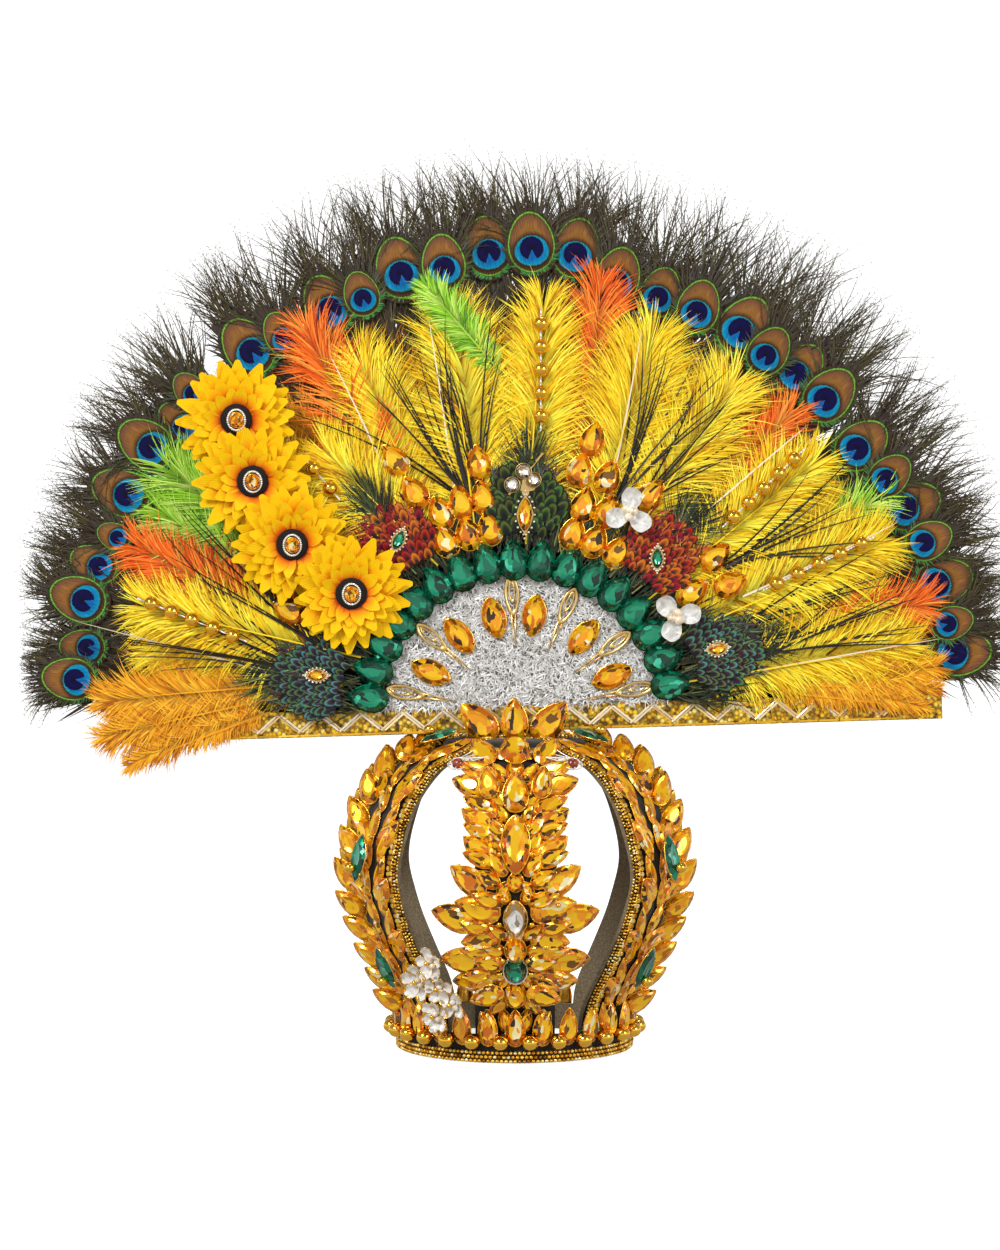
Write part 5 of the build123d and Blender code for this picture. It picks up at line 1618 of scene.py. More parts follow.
# %% Silk and pile
def petal_silk(name, root, body, tip):
    """Pressed polyester silk: matt, with faint ribs along the petal and a deeper colour at the root."""
    material = new_material(name)
    local = add_node(material, "UVMap", uv_map="local")
    axes = add_node(material, "SeparateXYZ", {"Vector": local})
    pick = add_node(material, "SeparateXYZ", {"Vector": add_node(material, "UVMap", uv_map="tone")})
    along = add_node(
        material, "Math", {0: pick.outputs["X"], 2: axes.outputs["Y"], 1: 0.22}, operation="MULTIPLY_ADD",
    )
    colour = add_node(
        material, "ValToRGB", {"Fac": along}, stops=[(0.38, root), (0.62, body), (0.86, tip)],
    )
    ribs = add_node(
        material, "TexWave", {"Vector": local, "Scale": 3.2, "Distortion": 0.6}, bands_direction="X",
    )
    shaded = dimmed(material, colour, ribs.outputs["Fac"], (0.0, 1.0), (0.86, 1.0))
    bump = add_node(material, "Bump", {"Height": ribs.outputs["Fac"], "Strength": 0.3, "Distance": 0.3 * MM})
    return finished(material, {
        "Base Color": shaded, "Normal": bump, "Roughness": 0.6, "Specular IOR Level": 0.15,
        "Sheen Weight": 0.03,
    })


def button_model():
    """The raised button in a flower's middle, with a soft rounded edge."""
    model = start_model(
        "button", bpy.ops.mesh.primitive_circle_add, vertices=28, radius=1.0, fill_type="NGON",
    )
    for size, up in ((1.0, 0.45), (0.94, 0.16), (0.84, 0.09), (0.7, 0.04), (0.5, 0.02)):
        inset_ring(size, up)
    bpy.ops.mesh.poke()
    end_model(50)
    flat_uv(model)
    return model


def black_pile():
    """Black flocked pile: swallows light, with a thin sheen where it turns away."""
    material = new_material("black_flocked_pile")
    places = add_node(material, "TexCoord")
    pile = add_node(material, "TexNoise", {"Vector": places.outputs["Object"], "Scale": 1 / (0.9 * MM)})
    colour = add_node(material, "ValToRGB", {"Fac": pile}, stops=[(0.3, "#040303"), (0.7, "#1a1310")])
    bump = add_node(material, "Bump", {"Height": pile, "Strength": 0.8, "Distance": 0.6 * MM})
    return finished(material, {"Base Color": colour, "Normal": bump, "Roughness": 0.95})


# %% [markdown]
# Each flower sits where its jewel lies in the model. Its petals are placed round the stem in four
# layers, with small errors of angle, length and twist, and replace that flower's plain solid.

# %% The four sunflowers
def petal_place(origin, ahead, front, lift, sizes, twist=0.0):
    """A petal's matrix: it points ahead, lifted towards the front and twisted about its own length."""
    along = cos(lift) * ahead + sin(lift) * front
    normal = cos(lift) * front - sin(lift) * ahead
    side = np.cross(along, normal) * cos(twist) + normal * sin(twist)
    return place(origin, side, along, np.cross(side, along), sizes)


PETAL_ROOT = 0.16 * FLOWER_RADIUS
# How deep the lowest petals lie behind the middle of the jewel
STEM_DEPTH = 9.8 * MM
BUTTON_HEIGHT = 11 * MM
JEWEL_SHARE = 0.72
RING_BEADS = 30
RING_BEAD = 2.3 * MM
yellow_silk = petal_silk("yellow_pressed_silk", "#dc5400", "#ffa000", "#ffca00")
button_pile = black_pile()
petal = petal_model("sunflower_petal", (0.5, 0.7, 0.88, 0.98, 1.0, 0.92, 0.72, 0.24), 0.07)
button = button_model()
flower_frames = [stone_frame(*solid, fan_out) for solid in loose_solids("sunflower_jewels")]
nodes = [f"sunflower_{number}" for number in range(1, 5)]
node_centres = [np.array([(low + high) / 2 for low, high in zip(*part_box(node))]) for node in nodes]
jewel_places, ring_places = [], []
for middle, wide, long, front, sizes, kind, ball in flower_frames:
    node = nodes[int(np.argmin([np.hypot(*(centre - middle)[[0, 2]]) for centre in node_centres]))]
    base = middle - front * STEM_DEPTH
    places, tones = [], []
    for number, tip, width, lift, up in PETAL_LAYERS:
        start = random.uniform(0, 360)
        for petal_number in range(number):
            turn = radians(start + 360 * petal_number / number + random.normal(0, 2.5))
            ahead = cos(turn) * wide + sin(turn) * long
            raised = radians(lift + random.normal(0, 3))
            length = (tip * FLOWER_RADIUS - PETAL_ROOT) * random.uniform(0.95, 1.05)
            twist = random.normal(0, 0.12)
            origin = base + front * (up + random.uniform(-0.3, 0.3)) * MM + ahead * PETAL_ROOT
            petal_size = (width * MM, length, length * 0.5)
            places.append(petal_place(origin, ahead, front, raised, petal_size, twist))
            tones.append(random.uniform(0, 1))
    copies(f"{node}_petals", petal, places, yellow_silk, "silk_yellow", (node,), tones, keep=True)
    pile_size = (BUTTON_RADIUS, BUTTON_RADIUS, BUTTON_HEIGHT)
    button_places = [place(base + front * 1.5 * MM, wide, long, front, pile_size)]
    copies(f"{node}_button", button, button_places, button_pile, "felt_black", keep=True)
    jewel_size = (JEWEL_SHARE * sizes[0], JEWEL_SHARE * sizes[1], sizes[2])
    jewel_places.append(place(middle + front * 0.8 * MM, wide, long, front, jewel_size))
    for bead in range(RING_BEADS):
        turn = 2 * pi * bead / RING_BEADS
        ring = middle + wide * (0.45 * sizes[0] * cos(turn)) + long * (0.47 * sizes[1] * sin(turn))
        ring_places.append(ring - front * 0.2 * MM)
for model in (petal, button):
    bpy.data.objects.remove(model)
copies("sunflower_stones", stone_model("oval"), jewel_places, amber, "amber_glass", ("sunflower_jewels",))
copies("sunflower_stone_settings", cup_model("oval"), jewel_places, setting_gold, "gold_metal")
copies("sunflower_bead_rings", bead_model(), bead_places(ring_places, RING_BEAD), silver_rim, "silver_pearl")

# %% [markdown]
# Five fans of small body feathers fill the dark gap above the green stones. They come from a peacock's
# neck and back: two are red-green like scales, three are dark with a green, bronze or violet sheen. Their
# sheen is painted: each vane's hue and brightness shift a little. Each is a field of short overlapping
# vanes, laid in rows from the outer edge inwards, over loose barbs.

# %% Peacock body feathers
PATCH_LENGTH = 84.0 * MM
PATCH_WIDTH = 66.0 * MM
VANE_ROWS = 10
# For each patch: dark, body and light colour, size of its vanes in mm, and how far their hue wanders as
# painted sheen
PATCH_FINISHES = (
    ("#050a06", "#1a2e18", "#5e6c30", 13, 0.06), ("#240402", "#8c1e0a", "#c4501e", 9.5, 0.03),
    ("#240402", "#90200a", "#c85420", 9.5, 0.03), ("#0a0a10", "#3c1c3a", "#4c8a4c", 9, 0.16),
    ("#080a10", "#3a2040", "#4a8a5a", 9, 0.16),
)


def vane_model():
    """A small rounded feather vane of length 1 along Y, a little cupped."""
    model = start_model("vane", bpy.ops.mesh.primitive_circle_add, vertices=8, radius=0.5, fill_type="NGON")
    bpy.ops.mesh.poke()
    bpy.ops.transform.translate(value=(0, 0.5, 0))
    end_model(80)
    flat_uv(model)
    for vertex in model.data.vertices:
        vertex.co.z = 0.16 * (0.5 - abs(vertex.co.x)) - 0.1 * vertex.co.y ** 2
    return model


def iridescent_vane(name, dark, body, light, wander):
    """Body-feather vanes: a dark root, a coloured middle, a thin bright rim and a painted sheen, glossy like
    oil on water.
    """
    material = new_material(name)
    local = add_node(material, "UVMap", uv_map="local")
    pick = add_node(material, "SeparateXYZ", {"Vector": add_node(material, "UVMap", uv_map="tone")})
    moved = add_node(
        material, "VectorMath", {0: local, 1: (2.0, 1.1, 0.0), 2: (0.0, -0.1, 0.0)},
        operation="MULTIPLY_ADD",
    )
    reach = add_node(material, "VectorMath", {0: moved}, operation="LENGTH")
    colour = add_node(
        material, "ValToRGB", {"Fac": reach.outputs["Value"]},
        stops=[(0.25, dark), (0.55, body), (0.8, light), (0.92, body), (1.05, dark)],
    )
    # Painted sheen: each vane's hue wanders and its brightness rises or falls at random, standing in for
    # iridescence.
    hue_range = {"To Min": 0.5 - wander, "To Max": 0.5 + wander}
    shift = add_node(material, "MapRange", {"Value": pick.outputs["X"], **hue_range})
    strength = add_node(material, "MapRange", {"Value": pick.outputs["X"], "To Min": 0.55, "To Max": 1.25})
    sheen = add_node(
        material, "HueSaturation", {"Color": colour, "Saturation": 1.15, "Hue": shift, "Value": strength},
    )
    return finished(material, {"Base Color": sheen, "Metallic": 0.35, "Roughness": 0.38})


# %% [markdown]
# A patch is laid like roof tiles: rows of vanes from its outer edge towards its foot, each row over the
# last. Loose barbs stick out round the rim, and short ruffled ones over the vanes break up the rows.

# %% Patches of vanes
vane = vane_model()
patch_strands, red_ruffles, dark_ruffles = [], [], []
RUFFLES = 260
bed_level = front_of("yellow_front") + 1 * MM
for number, (dark, body, light, vane_size, wander) in enumerate(PATCH_FINISHES, 1):
    node = f"peacock_patch_{number}"
    points = points_of(node)
    spread = points[:, [0, 2]] - points[:, [0, 2]].mean(axis=0)
    middle = points.mean(axis=0)
    away = middle - fan_centre
    away -= fan_out * (away @ fan_out)
    along = away / np.linalg.norm(away)
    foot = middle - along * PATCH_LENGTH * 0.46
    across = np.cross(along, fan_out)
    front = (points @ fan_out).max()
    foot += fan_out * (front - foot @ fan_out)
    places, tones = [], []
    for row in range(VANE_ROWS):
        share = 0.72 * (1 - (row + 0.5) / VANE_ROWS)
        half = PATCH_WIDTH / 2 * sin(pi * (0.16 + 0.72 * share / 0.72)) * 0.88
        count = max(2, int(2 * half / (vane_size * 0.5 * MM)))
        for step in range(count):
            aside = (2 * (step + 0.5) / count - 1) * half * random.uniform(0.94, 1.06)
            turn = 0.9 * aside / (PATCH_WIDTH / 2)
            up = share * PATCH_LENGTH * 0.88 - 0.25 * abs(aside) + random.normal(0, 1.0) * MM
            tip = cos(turn) * along + sin(turn) * across
            tip = tip + fan_out * random.uniform(0.05, 0.3)
            tip /= np.linalg.norm(tip)
            wide = np.cross(tip, fan_out)
            wide /= np.linalg.norm(wide)
            size = vane_size * MM * random.uniform(0.8, 1.2)
            origin = foot + along * up + across * aside + fan_out * (0.3 + 0.12 * row) * MM
            places.append(place(origin, wide, tip, np.cross(wide, tip), (size * 0.75, size, size)))
            tones.append(random.uniform(0, 1))
    finish = iridescent_vane(f"peacock_body_feather_{number}", dark, body, light, wander)
    copies(f"{node}_vanes", vane, places, finish, "peacock_feather", (node,), tones, keep=True)
    red = number in (2, 3)
    strands = 300
    foot_fan = np.array(((foot - fan_centre) @ fan_right, (foot - fan_centre) @ fan_up, front))
    ahead = np.array((along @ fan_right, along @ fan_up, 0.0))
    level = foot_fan + np.outer(random.uniform(0.5 if red else 0.2, 0.72, strands) * PATCH_LENGTH, ahead)
    level[:, 2] = front + random.uniform(-3.0, 1.2, strands) * MM
    turns = random.normal(0, 0.75, strands)
    heads = turned(ahead, turns) * (random.uniform(24, 46, strands) * MM)[:, None]
    heads[:, 2] = random.uniform(-1, 1.5, strands) * MM
    bends = turned(heads, pi / 2) * (-0.35 * turns)[:, None]
    tones = np.clip(random.normal(0.5, 0.3, strands), 0, 1)
    patch_strands.append(ribbons(level, heads, bends, 1.0 * MM, tones, 4, 0.4))
    patch_strands.append(fuzz((level, heads, bends), 2.2 * MM, 8))
    # Short ruffled barbs over the vanes break up their rows
    sideways = np.array((-ahead[1], ahead[0], 0.0))
    level = foot_fan + np.outer(random.uniform(0.0, 0.62, RUFFLES) * PATCH_LENGTH, ahead)
    level += np.outer(random.uniform(-0.42, 0.42, RUFFLES) * PATCH_WIDTH, sideways)
    level[:, 2] = front + random.uniform(0.6, 1.9, RUFFLES) * MM
    turns = random.normal(0, 0.5, RUFFLES)
    heads = turned(ahead, turns) * (random.uniform(6, 13, RUFFLES) * MM)[:, None]
    bends = turned(heads, pi / 2) * (-0.4 * turns)[:, None]
    tones = random.uniform(0, 1, RUFFLES)
    ruffle = ribbons(level, heads, bends, 1.4 * MM, tones, 2, 0.6)
    (red_ruffles if red else dark_ruffles).append(ruffle)
bpy.data.objects.remove(vane)
for name, ruffles, colours in (
    ("red_ruffled_barbs", red_ruffles, ("#2c0a04", "#8c2a0e", "#d4702e")),
    ("green_violet_ruffled_barbs", dark_ruffles, ("#1a1626", "#4a2838", "#5a9048")),
):
    fan_piece(name, ruffles, herl_tones_and_sheen(f"{name}_dye", *colours), "peacock_feather")


# %% [markdown]
# A bed of short dark herl all round hides the board behind the green stones and the roots of the plumes.
# It is made of the same strands as the loose barbs of the patches, and all of them become one piece.

# %% Bed of dark herl
BED_STRANDS = 1500
BED_INNER, BED_OUTER = 124.0 * MM, 168.0 * MM
angles = random.uniform(1, 179, BED_STRANDS)
reach = random.uniform(BED_INNER, BED_OUTER, BED_STRANDS)
ahead = np.array([(*fan_xy(angle, 1.0), 0.0) for angle in angles])
roots = np.array([fan_xy(angle, length) for angle, length in zip(angles, reach)])
level = np.column_stack((roots, bed_level + random.uniform(0.3, 2.5, BED_STRANDS) * MM))
turns = random.normal(0, 0.4, BED_STRANDS)
heads = turned(ahead, turns) * (random.uniform(16, 34, BED_STRANDS) * MM)[:, None]
bends = turned(heads, pi / 2) * (-0.3 * turns)[:, None]
tones = np.clip(random.normal(0.4, 0.25, BED_STRANDS), 0, 1)
patch_strands.append(ribbons(level, heads, bends, 1.3 * MM, tones, 3, 0.4))
patch_strands.append(fuzz((level, heads, bends), 2.2 * MM, 6))
patch_herl = herl_tones_and_sheen("green_bronze_body_herl", "#0a0d07", "#263018", "#78803a")
fan_piece("patch_loose_barbs", patch_strands, patch_herl, "peacock_feather")

# %% [markdown]
# Bare strands of black herl and a few stiff, white-gold wrapped quills spray out of the feather bed and
# lie over the yellow plumes. Each spray starts at one point and fans out with a slight curve.

# %% Black sprays and wrapped quills
# Sprays: root angle and reach in mm, tip angle and reach in mm, how wide they fan in degrees, strands
SPRAYS = (
    (101, 170, 112, 340, 34, 15), (99, 168, 96, 330, 16, 12), (64, 185, 62, 335, 30, 16),
    (60, 185, 52, 318, 26, 12), (34, 205, 30, 345, 26, 14), (12, 200, 14, 345, 20, 12),
    (168, 165, 162, 345, 22, 16), (160, 170, 150, 330, 16, 10), (20, 190, 22, 330, 18, 8),
)
# Wrapped quills: root angle and reach in mm, tip angle and reach in mm
WRAPPED_QUILLS = (
    (171, 150, 166.5, 372), (105.3, 180, 101, 330), (118, 205, 115.7, 332), (66, 188, 69.9, 328),
    (47, 180, 44, 330), (8, 150, 9, 350), (26, 205, 24.5, 345),
)
QUILL_WIDTH = 1.7 * MM


def thread_between(root_angle, root_reach, tip_angle, tip_reach, back, rise):
    """Start and run of a strand between two places on the fan, given by angle and reach in mm."""
    root = np.array((*fan_xy(root_angle, root_reach * MM), back))
    tip = np.array((*fan_xy(tip_angle, tip_reach * MM), back + rise))
    return root, tip - root


plume_front = front_of("yellow_front")
spray_parts, sparse = [], []
for root_angle, root_reach, tip_angle, tip_reach, fan_width, strands in SPRAYS:
    root, head = thread_between(root_angle, root_reach, tip_angle, tip_reach, plume_front + 2 * MM, 5 * MM)
    turns = np.radians(fan_width) * (random.uniform(-0.5, 0.5, strands))
    heads = turned(head, turns) * random.uniform(0.6, 1.05, strands)[:, None]
    bends = turned(heads, pi / 2) * (turns * 0.8 + random.normal(0, 0.06, strands))[:, None]
    bends[:, 2] = -2 * MM
    starts = root + random.normal(0, 1.2 * MM, (strands, 3))
    tones = random.uniform(0, 0.8, strands)
    spray_parts.append(ribbons(starts, heads, bends, 1.8 * MM, tones, 8, 0.5))
    sparse.append((starts, heads, bends))
for strand_set in sparse:
    spray_parts.append(fuzz(strand_set, 1.6 * MM, 16))
black_herl = herl_tones_and_sheen("black_stripped_herl", "#080604", "#1a1208", "#3c3210")
fan_piece("black_herl_sprays", spray_parts, black_herl, "peacock_feather")
starts, runs = [], []
for line in WRAPPED_QUILLS:
    root, head = thread_between(*line, plume_front + 2 * MM, 5 * MM)
    starts.append(root)
    runs.append(head)
starts, runs = np.array(starts), np.array(runs)
bends = turned(runs, pi / 2) * random.uniform(-0.05, 0.05, len(starts))[:, None]
quill_ribbons = ribbons(starts, runs, bends, QUILL_WIDTH, 0.8, 16, 0.3)
wrapped = cord_finish("white_gold_wrapped_quill", "#c8a860", "#fff2d4", 0.3)
fan_piece("wrapped_quills", [quill_ribbons], wrapped, "thread")

# %% [markdown]
# The brooches are gilt frames set with a row of seed pearls and one long stone each. The frames are
# solid pieces of the model already and only get their finish. The pearls and stones are laid on them.

# %% Brooches
BROOCH_PEARLS = 18
SEED_PEARL = 2.1 * MM
pale_gilt = metal("pale_gilt_brooch_metal", "#e2bd7c", 0.28, 2.0, 0.15)
finish_node("brooches", pale_gilt)
brooch_pearls, brooch_places = [], {"amber": [], "emerald": []}
brooch_frames = [stone_frame(*solid, fan_out)[:5] for solid in loose_solids("brooch_stones")]
order = sorted(brooch_frames, key=lambda item: item[0] @ fan_right)
for number, (middle, wide, long, front, sizes) in enumerate(order):
    glass = "emerald" if number in (1, 3) else "amber"
    stone_size = (1.05 * sizes[0], 1.02 * sizes[1], sizes[2])
    brooch_places[glass].append(place(middle + front * 1.0 * MM, wide, long, front, stone_size))
    for bead in range(BROOCH_PEARLS):
        turn = 2 * pi * bead / BROOCH_PEARLS
        sharp = 1 - 0.28 * abs(sin(turn)) ** 3
        ring = middle + wide * (0.72 * sizes[0] * cos(turn) * sharp) + long * (0.63 * sizes[1] * sin(turn))
        brooch_pearls.append(ring + front * 1.2 * MM)
    for end in (-1, 1):
        brooch_pearls.append(middle + long * end * 0.74 * sizes[1] + front * 1.0 * MM)
navette = stone_model("navette")
copies(
    "brooch_amber_stones", navette, brooch_places["amber"], amber, "amber_glass", ("brooch_stones",),
    keep=True,
)
copies("brooch_green_stones", navette, brooch_places["emerald"], emerald, "green_glass")
# Three clear rounds in gilt cups lie on the middle brooch: angle on the fan, reach in mm
CLEAR_ROUNDS = ((90.4, 186.5), (87.6, 197.5), (85.2, 190.5))
CLEAR_ROUND = (11 * MM, 11 * MM, 3.6 * MM)
clear_level = 2 * MM - order[2][0][1]
clear_places = [fan_place(angle, reach * MM, clear_level, 0, CLEAR_ROUND) for angle, reach in CLEAR_ROUNDS]
copies("brooch_clear_stones", stone_model("oval"), clear_places, crystal, "silver_pearl")
cup_places = [matrix @ np.diag((1.16, 1.16, 1.0, 1.0)) for matrix in clear_places]
copies("brooch_clear_settings", cup_model("oval"), cup_places, pale_gilt, "gold_metal")

# %% [markdown]
# Pearls and pressed shell share one look: nacre, whose thin layers shift between rose and grey under a
# silky gloss. Only the three tones differ from piece to piece.

# %% Nacre
def nacre(name, shade, body, light):
    """Nacre and pearl: a warm white that shifts a little between rose and grey, with a silky gloss."""
    material = new_material(name)
    places = add_node(material, "TexCoord")
    cloud = add_node(
        material, "TexNoise",
        {"Vector": places.outputs["Object"], "Scale": 1 / (9 * MM), "Detail": 3.0, "Distortion": 1.5},
    )
    colour = add_node(
        material, "ValToRGB", {"Fac": cloud}, stops=[(0.25, shade), (0.5, body), (0.75, light)],
    )
    bump = add_node(material, "Bump", {"Height": cloud, "Strength": 0.35, "Distance": 0.4 * MM})
    return finished(material, {
        "Base Color": colour, "Normal": bump, "Roughness": 0.28, "Coat Weight": 0.6, "Coat Roughness": 0.08,
        "Sheen Weight": 0.15,
    })


seed_pearl = nacre("cream_seed_pearl", "#cdb48c", "#f4e2c0", "#ffffff")
copies("brooch_seed_pearls", bead_model(), bead_places(brooch_pearls, SEED_PEARL), seed_pearl, "pearl_white")

# %% [markdown]
# The white flowers have petals pressed from shell: broad, cupped and wavy at the rim. Three petals and
# three pearls make a flower on the fan. The spray on the band has smaller clear petals with gilt rims.

# %% Pearl flowers
def shell_petal_model(wave):
    """A broad petal of length 1 along Y, cupped, with a wavy rim."""
    model = start_model(
        "shell_petal", bpy.ops.mesh.primitive_grid_add, x_subdivisions=10, y_subdivisions=10, size=1.0,
    )
    bpy.ops.transform.translate(value=(0, 0.5, 0))
    end_model()
    flat_uv(model)
    for vertex in model.data.vertices:
        x, y = 2 * vertex.co.x, 2 * vertex.co.y - 1
        round_x, round_y = x * sqrt(1 - y * y / 2), y * sqrt(1 - x * x / 2)
        reach = round_x ** 2 + round_y ** 2
        vertex.co.x = 0.5 * round_x * (0.72 + 0.28 * (round_y + 1) / 2)
        vertex.co.y = 0.5 * (round_y + 1)
        vertex.co.z = 0.22 * reach - 0.12 + wave * reach * cos(5 * np.arctan2(round_y, round_x))
    for face in model.data.polygons:
        face.use_smooth = True
    return model


SHELL_LIFT = 0.25
SHELL_SIZE = (19 * MM, 20 * MM, 17 * MM)
FLOWER_PEARL = 8 * MM
shell = nacre("pressed_shell_petals", "#aaa69e", "#dad8d2", "#f6f4f0")
petal_places, pearl_spots = [], []
for node, lean in (("pearl_flower_1", 20.0), ("pearl_flower_2", 100.0)):
    points = points_of(node)
    middle = middle_of(points)
    back = (points @ fan_out).min()
    away = middle - fan_centre
    away -= fan_out * (away @ fan_out)
    turn0 = np.arctan2(away @ fan_up, away @ fan_right) + radians(lean)
    for petal_number in range(3):
        turn = turn0 + 2 * pi * petal_number / 3
        ahead = cos(turn) * fan_right + sin(turn) * fan_up
        origin = middle + fan_out * (back + 2.0 * MM - middle @ fan_out) + ahead * 1.5 * MM
        petal_places.append(petal_place(origin, ahead, fan_out, SHELL_LIFT, SHELL_SIZE))
    for pearl in range(3):
        turn = turn0 + 2 * pi * (pearl + 0.5) / 3
        spot = cos(turn) * fan_right + sin(turn) * fan_up
        pearl_spots.append(middle + fan_out * (back + 5.5 * MM - middle @ fan_out) + spot * 3.6 * MM)
shell_petal = shell_petal_model(0.08)
copies(
    "shell_flower_petals", shell_petal, petal_places, shell, "pearl_white",
    ("pearl_flower_1", "pearl_flower_2"), keep=True,
)
pearl = nacre("ivory_pearl", "#b8a080", "#ecd8b8", "#fff8ea")
pearl_places = bead_places(pearl_spots, FLOWER_PEARL)
copies("shell_flower_pearls", bead_model("pearl", 3), pearl_places, pearl, "pearl_white")

# %% [markdown]
# Low on the left of the orb sits a spray of clear pressed petals. Each petal is edged in gilt wire, and
# pearls and gilt rings sit in the middles. A wire rim is a torus squeezed to the petal's outline.

# %% Flower spray on the band
SPRAY_TURN = 326.5
# Flowers of the spray: aside and up from its middle in mm, petals, petal length in mm
SPRAY_FLOWERS = ((2, 24, 5, 14), (-12, 7, 6, 15), (8, 3, 5, 13), (19, -9, 4, 14), (1, -20, 6, 14))


def petal_wire_model():
    """A fine ring squeezed to a petal's outline, of length 1 along Y."""
    model = start_model(
        "petal_wire", bpy.ops.mesh.primitive_torus_add, major_segments=18, minor_segments=4,
        major_radius=0.5, minor_radius=0.035,
    )
    bpy.ops.transform.translate(value=(0, 0.5, 0))
    end_model(60)
    for vertex in model.data.vertices:
        vertex.co.x *= 0.72 + 0.28 * vertex.co.y
        reach = (vertex.co.x ** 2 + (vertex.co.y - 0.5) ** 2) * 4
        vertex.co.z += 0.22 * reach - 0.12
    return model


turn = radians(SPRAY_TURN)
spray_out = np.array((sin(turn), -cos(turn), 0.0))
spray_side = np.array((cos(turn), sin(turn), 0.0))
tilt = radians(12.0)
spray_up = cos(tilt) * np.array((0.0, 0.0, 1.0)) + sin(tilt) * spray_out
spray_front = np.cross(spray_side, spray_up)
points = points_of("band_flowers")
spray_middle = middle_of(points)
face = np.percentile((points - spray_middle) @ spray_front, 60)
clear_petal = nacre("clear_pressed_petals", "#b9b4aa", "#ece8e2", "#ffffff")
petal_places, ring_spots, pearl_spots = [], [], []
for aside, up, petals, length in SPRAY_FLOWERS:
    centre = spray_middle + spray_side * aside * MM + spray_up * up * MM + spray_front * (face + 2 * MM)
    start = random.uniform(0, 2 * pi)
    for number in range(petals):
        turn = start + 2 * pi * number / petals + random.normal(0, 0.1)
        ahead = cos(turn) * spray_side + sin(turn) * spray_up
        lift = random.uniform(0.15, 0.5)
        size = length * MM * random.uniform(0.9, 1.1)
        origin = centre + ahead * 1.2 * MM
        petal_places.append(petal_place(origin, ahead, spray_front, lift, (size * 0.8, size, size)))
    pearl_spots.append(centre + spray_front * 3.0 * MM + spray_up * 2.0 * MM)
    pearl_spots.append(centre + spray_front * 3.0 * MM - spray_up * 2.2 * MM + spray_side * 2.0 * MM)
    ring_spots.append(centre + spray_front * 3.5 * MM - spray_side * 3.2 * MM - spray_up * 0.5 * MM)
copies(
    "band_spray_petals", shell_petal, petal_places, clear_petal, "pearl_white", ("band_flowers",), keep=True,
)
bpy.data.objects.remove(shell_petal)
copies("band_spray_wires", petal_wire_model(), petal_places, bright_gold, "gold_metal")
copies("band_spray_pearls", bead_model("pearl", 2), bead_places(pearl_spots, 5.2 * MM), pearl, "pearl_white")
gilt_places = bead_places(ring_spots, 4.6 * MM)
copies("band_spray_gilt_beads", bead_model("ball", 2), gilt_places, bright_gold, "gold_metal")

# %% [markdown]
# A few small things finish the front column: two dark red beads held in loops of thin wire under the top
# stones, gilt balls beside the lowest rows, and small beads that fill the corners between the settings.

# %% Small beads and wires of the front column
RED_BEAD_PLACE = (0.795, 45 * MM, 3 * MM)
RED_BEAD = 10.0 * MM
# Gilt beads: share of the strip's length, aside in mm, out in mm, diameter in mm
FILL_BEADS = (
    (0.262, 12, 6, 6.5), (0.395, 12.5, 6, 5), (0.455, 9.5, 6, 5), (0.555, 12, 5, 5), (0.62, 10, 5, 5),
    (0.7, 12, 5, 4.5), (0.75, 10, 5, 4.5), (0.3, 9.5, 6, 5.5), (0.335, 24, 5, 4.5), (0.44, 33, 4, 4.5),
    (0.535, 24, 4, 4.5), (0.6, 30, 4, 4),
)
WIRE = 0.9 * MM


def glass_bead(name, dark, light):
    """A dark polished glass bead with a slightly cloudy body."""
    material = new_material(name)
    places = add_node(material, "TexCoord")
    cloud = add_node(material, "TexNoise", {"Vector": places.outputs["Object"], "Scale": 1 / (3 * MM)})
    colour = add_node(material, "ValToRGB", {"Fac": cloud}, stops=[(0.3, dark), (0.7, light)])
    return finished(material, {"Base Color": colour, "Roughness": 0.12, "Coat Weight": 0.7})


def wire_loop(name, lines, thickness, material):
    """Bent wires through the points of each line, as one rounded curve that is turned into a mesh."""
    data = bpy.data.curves.new(name, "CURVE")
    data.dimensions = "3D"
    data.bevel_depth = thickness / 2
    data.bevel_resolution = 1
    data.resolution_u = 6
    for line in lines:
        spline = data.splines.new("NURBS")
        spline.points.add(len(line) - 1)
        for point, place_on_line in zip(spline.points, line):
            point.co = (*place_on_line, 1.0)
        spline.order_u = 3
        spline.use_endpoint_u = True
    bpy.ops.object.select_all(action="DESELECT")
    piece = bpy.data.objects.new(name, data)
    bpy.context.collection.objects.link(piece)
    bpy.context.view_layer.objects.active = piece
    piece.select_set(True)
    bpy.ops.object.convert(target="MESH")
    piece = bpy.context.object
    piece.data.materials.clear()
    piece.data.materials.append(material)
    bpy.ops.object.shade_smooth()
    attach(piece, "root")
    return piece


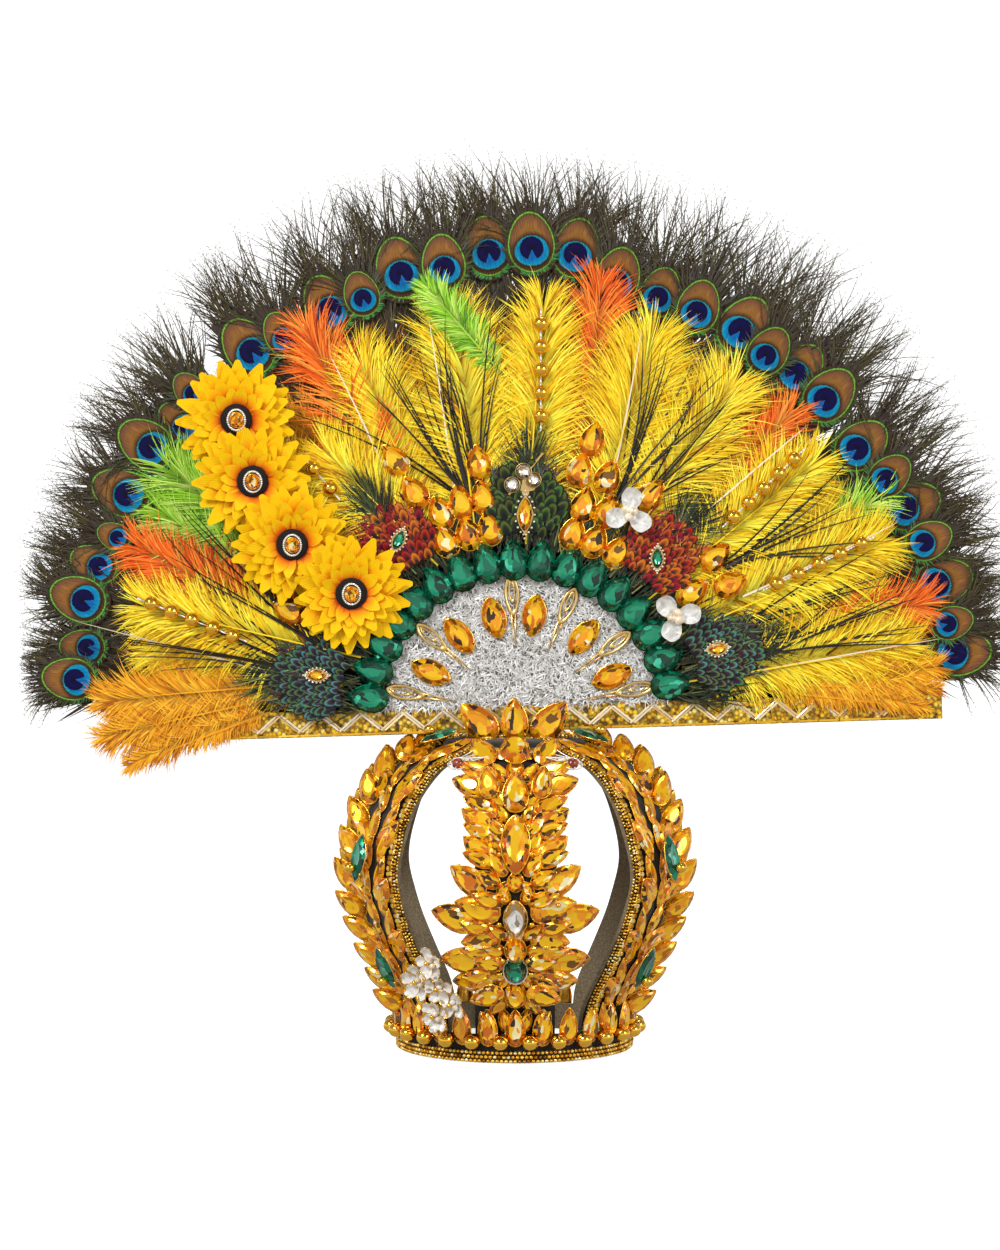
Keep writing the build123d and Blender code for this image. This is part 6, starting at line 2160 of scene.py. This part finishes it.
front = curves["strip_front"]
fill_places, red_spots, wires = [], [], []
share, aside, out_by = RED_BEAD_PLACE
origin, up, out, half = at_share(front, share)
for side in (-1, 1):
    spot = origin + front["aside"] * side * aside + out * out_by
    red_spots.append(spot)
    hook = origin + front["aside"] * side * 24 * MM + out * 5 * MM + up * 6 * MM
    for spin in (0.6, -0.7, 1.9):
        loop = [hook]
        for step in range(7):
            turn = spin + 2 * pi * step / 6
            ring = side * cos(turn) * front["aside"] + sin(turn) * up
            loop.append(spot + ring * (7.5 + spin) * MM + out * 1.5 * sin(step) * MM)
        loop.append(hook + up * 6 * spin * MM + front["aside"] * side * 8 * MM)
        wires.append(loop)
for share, aside, out_by, diameter in FILL_BEADS:
    origin, up, out, half = at_share(front, share)
    spots = [origin + front["aside"] * side * aside * MM + out * out_by * MM for side in (-1, 1)]
    fill_places.extend(bead_places(spots, diameter * MM))
copies("column_gilt_beads", bead_model("ball", 2), fill_places, bright_gold, "gold_metal")
red_glass = glass_bead("red_brown_glass_bead", "#5a1404", "#a4380e")
copies("column_red_beads", bead_model("ball", 3), bead_places(red_spots, RED_BEAD), red_glass, "amber_glass")
wire_loop("column_wire_loops", wires, WIRE, silver_rim)

# %% [markdown]
# The bead strings hang on waxed thread, and the board and the post behind the fan are covered in felt as
# the strips are. They keep their own shapes and only get a finish.

# %% Thread, board and post
def spun_thread(name, dark, light):
    """Waxed sewing thread: plies that show as fine light and dark bands."""
    material = new_material(name)
    places = add_node(material, "TexCoord")
    plies = add_node(
        material, "TexWave", {"Vector": places.outputs["Object"], "Scale": 1 / (6 * MM), "Distortion": 1.0},
        bands_direction="DIAGONAL",
    )
    colour = add_node(material, "ValToRGB", {"Fac": plies.outputs["Fac"]}, stops=[(0.2, dark), (0.8, light)])
    return finished(material, {"Base Color": colour, "Roughness": 0.5})


thread_white = spun_thread("white_waxed_thread", "#b8b2a4", "#ffffff")
for number in range(1, 6):
    finish_node(f"bead_thread_{number}", thread_white)
# Far behind the fan, so that every face of the board and the post but the back ones counts as outside
FAR_BEHIND = (0, 10, 0.4)
finish_node("fan_board", felt_and_board("felt_covered_fan_board", FAR_BEHIND))
finish_node("fan_post", felt_and_board("felt_covered_post", FAR_BEHIND))
print("all pieces are dressed")
